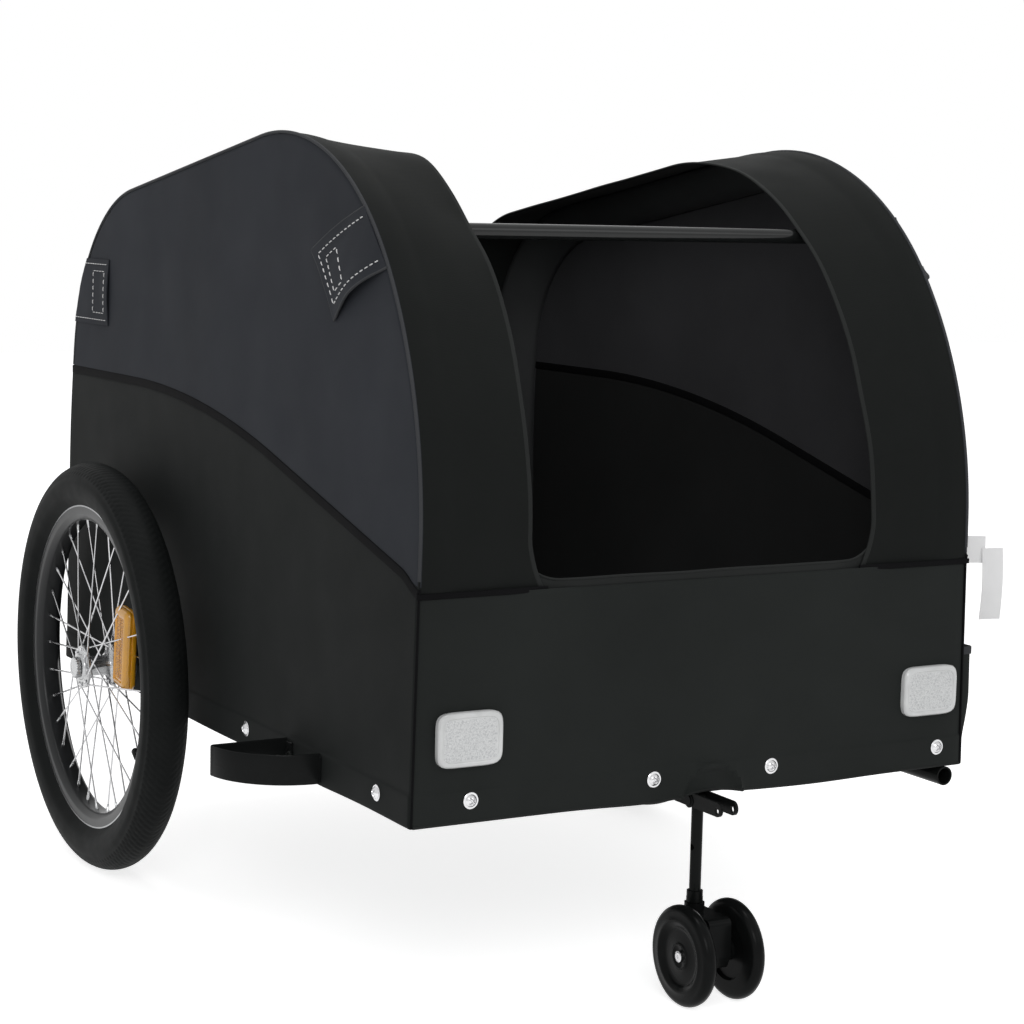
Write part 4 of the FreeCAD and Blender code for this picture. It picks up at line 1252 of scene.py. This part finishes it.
def spoke_reflector(side, name):
    """Two-faced reflector clipped to the spokes: smooth border round rows of prisms."""
    centre = wheel_point(side, 0.0, 82.0, 158.0)
    tilt = math.radians(6.0)
    up = Vector((0.0, -math.sin(tilt), math.cos(tilt)))
    across = Vector((0.0, math.cos(tilt), math.sin(tilt)))
    out = Vector((1.0, 0.0, 0.0))
    loops = ((0.0, 1.2), (0.8, 0.2), (2.4, 0.0), (4.4, 0.7), (5.9, 2.4), (6.7, 4.8), (6.9, 6.2), (6.6, 7.0), (5.6, 7.4))
    build = Build()
    for face in (-1, 1):
        verts = []
        for rise, inset in loops:
            verts += [centre + out * face * rise + across * u + up * v
                      for u, v in rounded_loop(34.0, 78.0, 6.5, inset)]
        count = len(verts) // len(loops)
        faces = grid_faces(len(loops), count, wrap_cols=True)
        faces.append(tuple(reversed(range(len(verts) - count, len(verts)))))
        build.add(verts, faces, 0)
        pitch = 2.6
        for row in range(-13, 14):
            for col in range(-5, 6):
                u, v = col * pitch, row * pitch
                if abs(u) > 8.6 or abs(v) > 30.5:
                    continue
                raise_by = 0.5 if abs(u) < 1.4 else 0.0
                corners = [centre + out * face * (5.6 + raise_by) + across * (u + a * pitch / 2) + up * (v + b * pitch / 2)
                           for a, b in ((-1, -1), (1, -1), (1, 1), (-1, 1))]
                corners.append(centre + out * face * (6.5 + raise_by) + across * u + up * v)
                build.add(corners, [(k, (k + 1) % 4, 4) for k in range(4)], 1)
    build.piece(f"spoke_reflector_lens_{name}", ["amber_shell", "amber_lens"],
                f"{name}_wheel", replaces=[f"spoke_reflector_{name}"], smooth=25)


# ---------------------------------------------------------------- castor
def castor_wheels():
    """Two small solid wheels with rounded treads, a dished disc and a moulding line."""
    build = Build()
    outer = [(-6.5, 26.0), (-6.5, 36.5), (-6.1, 38.6), (-5.0, 40.6), (-3.2, 41.9), (-1.0, 42.45), (-0.15, 42.5),
             (0.15, 42.5), (1.0, 42.45), (3.2, 41.9), (5.0, 40.6), (6.1, 38.6), (6.5, 36.5), (6.5, 31.5),
             (6.9, 30.9), (6.9, 28.6), (6.5, 28.0), (6.0, 26.6), (4.4, 24.6), (3.6, 23.6), (3.4, 21.0),
             (4.3, 12.5), (4.6, 11.4), (5.2, 10.8), (5.4, 9.6), (4.9, 8.8), (3.6, 4.1), (-6.5, 4.1),
             (-6.5, 9.0), (-3.5, 9.4), (-3.5, 24.0)]
    for _, side in SIDES:
        lathe(build, outer, (side * 24.0, CASTOR.y, CASTOR.z), (side, 0, 0), 128)
    build.piece("castor_wheel_discs", ["castor_plastic"], "castor_wheel_pair",
                replaces=["castor_wheels"])
    build = Build()
    for _, side in SIDES:
        base = (side * 24.0, CASTOR.y, CASTOR.z)
        lathe(build, [(3.6, 0.1), (3.6, 4.6), (5.6, 4.6), (6.2, 4.2), (6.6, 3.2), (6.7, 1.5), (6.1, 1.3),
                      (6.0, 0.1)], base, (side, 0, 0), 48)
        lathe(build, [(-8.6, 0.1), (-8.6, 3.0), (-8.1, 3.9), (-6.4, 3.9), (-6.4, 0.1)], base, (side, 0, 0), 40)
    build.piece("castor_hub_bolts", ["bright_steel"], "castor_wheel_pair")


def strut_details():
    """Stepped collar of the folding strut and the pivot's washers."""
    build = Build()
    axis = (0, 0, 1)
    base = (0.0, PIVOT.y, 0.0)
    lathe(build, [(80.4, 5.1), (80.4, 6.6), (80.9, 7.1), (84.6, 7.1), (85.0, 6.6), (85.3, 6.2), (89.3, 6.2),
                  (90.0, 5.7), (90.2, 5.1)], base, axis, 64)
    build.piece("strut_collar", ["frame_paint"], "folding_strut")
    build = Build()
    for _, side in SIDES:
        lathe(build, [(8.8, 2.5), (8.8, 6.2), (9.4, 6.2), (9.6, 5.8), (9.7, 2.5)], (0, PIVOT.y, PIVOT.z),
              (side, 0, 0), 40)
    build.piece("pivot_washers", ["frame_paint"])


# ---------------------------------------------------------------- all pieces
M["clear_shell"] = coated("clear_shell", (0.68, 0.69, 0.69), 0.14, Coat_Weight=0.5)
M["red_shell"] = coated("red_shell", (0.46, 0.006, 0.005), 0.2, Coat_Weight=0.05, Specular_IOR_Level=0.15)
M["amber_shell"] = coated("amber_shell", (0.80, 0.37, 0.012), 0.16, Coat_Weight=0.3)

for name, side in SIDES:
    upper_side(side, name)
    lower_side(side, name)
    arch_band(side, name)
    piping, edges, opening = seams(side, name)
    axle_grommet(side, name)
    sleeve, sleeve_seam = hoop_sleeve(side, name)
front = front_cloth()
rear = rear_cloth()
hems = opening_hems()
bottom_binding()
for name, side in SIDES:
    flap_cloth, flap_thread = front_flap(side, name)
    flap_cloth, flap_thread = rear_flap(side, name)
pocket, pocket_trim = flag_pocket()
ribbon = label()
body_screws()
lamps()
castor_wheels()
strut_details()
for name, side in SIDES:
    guard(side, name)
    tyre(side, name)
    rim(side, name)
    spokes(side, name)
    hub(side, name)
    valve(side, name)
    spoke_reflector(side, name)


# ---------------------------------------------------------------- frame parts shown as they are in CAD
FINISHES = (
    ("frame_paint", "frame_steel", ["side_rail_left", "side_rail_right", "front_rail", "rear_rail", "cross_tubes",
                                    "hoop_left", "hoop_right", "tow_bar_socket", "castor_bracket", "castor_strut",
                                    "castor_pivot_pin"]),
    ("bar_paint", "frame_steel", ["cross_bar"]),
    ("floor_plastic", "floor_plastic", ["floor_board"]),
    ("castor_plastic", "castor_plastic", ["castor_fork"]),
    ("bright_steel", "bright_steel", ["castor_axle"]),
    ("hub_alloy", "hub_alloy", ["axle_left", "axle_right"]),
)
M["bar_paint"] = coated("bar_paint", (0.011, 0.012, 0.012), 0.16, Specular_IOR_Level=0.3)
for finish, slot_name, nodes in FINISHES:
    for node in nodes:
        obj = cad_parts[node]
        obj.data.materials.clear()
        obj.data.materials.append(M[finish])
        bevel = obj.modifiers.new("edges", "BEVEL")
        bevel.width = 0.6 * MM
        bevel.segments = 2
        bevel.limit_method = "ANGLE"
        bevel.angle_limit = math.radians(40)


# ---------------------------------------------------------------- stage, lights and camera
def seen_directly(tree, seen, otherwise, output):
    """One shader for what the camera sees, also by mirror or glass, and another that lights the object."""
    path = tree.nodes.new("ShaderNodeLightPath")
    total = path.outputs["Is Camera Ray"]
    for ray in ("Is Glossy Ray", "Is Transmission Ray"):
        either = tree.nodes.new("ShaderNodeMath")
        either.operation = "MAXIMUM"
        tree.links.new(total, either.inputs[0])
        tree.links.new(path.outputs[ray], either.inputs[1])
        total = either.outputs[0]
    mix = tree.nodes.new("ShaderNodeMixShader")
    tree.links.new(total, mix.inputs["Fac"])
    tree.links.new(otherwise, mix.inputs[1])
    tree.links.new(seen, mix.inputs[2])
    tree.links.new(mix.outputs[0], output)


def make_world(strength):
    world = bpy.data.worlds.new("studio")
    bpy.context.scene.world = world
    world.use_nodes = True
    tree = world.node_tree
    soft = tree.nodes["Background"]
    soft.inputs["Color"].default_value = (1, 1, 1, 1)
    soft.inputs["Strength"].default_value = strength
    white = tree.nodes.new("ShaderNodeBackground")
    white.inputs["Color"].default_value = (1, 1, 1, 1)
    white.inputs["Strength"].default_value = 1.0
    seen_directly(tree, white.outputs[0], soft.outputs[0], tree.nodes["World Output"].inputs["Surface"])


def make_floor():
    """Pale floor: the camera sees it white, with the trailer's soft shadow."""
    mesh = bpy.data.meshes.new("floor")
    mesh.from_pydata([(-8, -8, 0), (8, -8, 0), (8, 8, 0), (-8, 8, 0)], [], [(0, 1, 2, 3)])
    floor = bpy.data.objects.new("studio_floor", mesh)
    bpy.context.collection.objects.link(floor)
    mat = bpy.data.materials.new("studio_floor")
    mat.use_nodes = True
    tree = mat.node_tree
    plain = tree.nodes["Principled BSDF"]
    plain.inputs["Base Color"].default_value = (0.85, 0.85, 0.85, 1)
    plain.inputs["Roughness"].default_value = 0.9
    mesh.materials.append(mat)
    glow = tree.nodes.new("ShaderNodeEmission")
    glow.inputs["Strength"].default_value = 0.78
    both = tree.nodes.new("ShaderNodeAddShader")
    tree.links.new(plain.outputs[0], both.inputs[0])
    tree.links.new(glow.outputs[0], both.inputs[1])
    seen_directly(tree, both.outputs[0], plain.outputs[0], tree.nodes["Material Output"].inputs["Surface"])


def area_light(name, place_at, look_at, size, power):
    data = bpy.data.lights.new(name, "AREA")
    data.shape = "RECTANGLE"
    data.size, data.size_y = size
    data.energy = power
    light = bpy.data.objects.new(name, data)
    light.location = place_at
    light.rotation_mode = "QUATERNION"
    light.rotation_quaternion = (Vector(look_at) - Vector(place_at)).to_track_quat("-Z", "Y")
    bpy.context.collection.objects.link(light)


def make_camera():
    """Stands at the trailer's right front corner and looks back along it."""
    az, el, roll = 0.5207, 0.1246, 0.0227
    ahead = Vector((math.sin(az) * math.cos(el), math.cos(az) * math.cos(el), -math.sin(el)))
    level = Vector((math.cos(az), -math.sin(az), 0.0))
    upright = level.cross(ahead)
    right = level * math.cos(roll) + upright * math.sin(roll)
    up = upright * math.cos(roll) - level * math.sin(roll)
    data = bpy.data.cameras.new("camera")
    data.lens = 84.7
    data.sensor_width = 36.0
    data.clip_start, data.clip_end = 0.1, 50.0
    camera = bpy.data.objects.new("camera", data)
    turn = Matrix((right, up, -ahead)).transposed().to_4x4()
    camera.matrix_world = Matrix.Translation((-1.12027, -1.99423, 0.65352)) @ turn
    bpy.context.collection.objects.link(camera)
    bpy.context.scene.camera = camera


make_world(0.42)
make_floor()
area_light("key", (-1.3, -2.6, 1.85), (0, 0, 0.4), (1.3, 1.1), 23)
area_light("fill", (1.3, -2.7, 1.9), (0, 0, 0.4), (1.4, 1.2), 6)
area_light("top", (-0.3, 0.0, 3.0), (0, 0, 0.3), (1.3, 0.7), 22)
make_camera()
bpy.context.scene.view_settings.view_transform = "Standard"
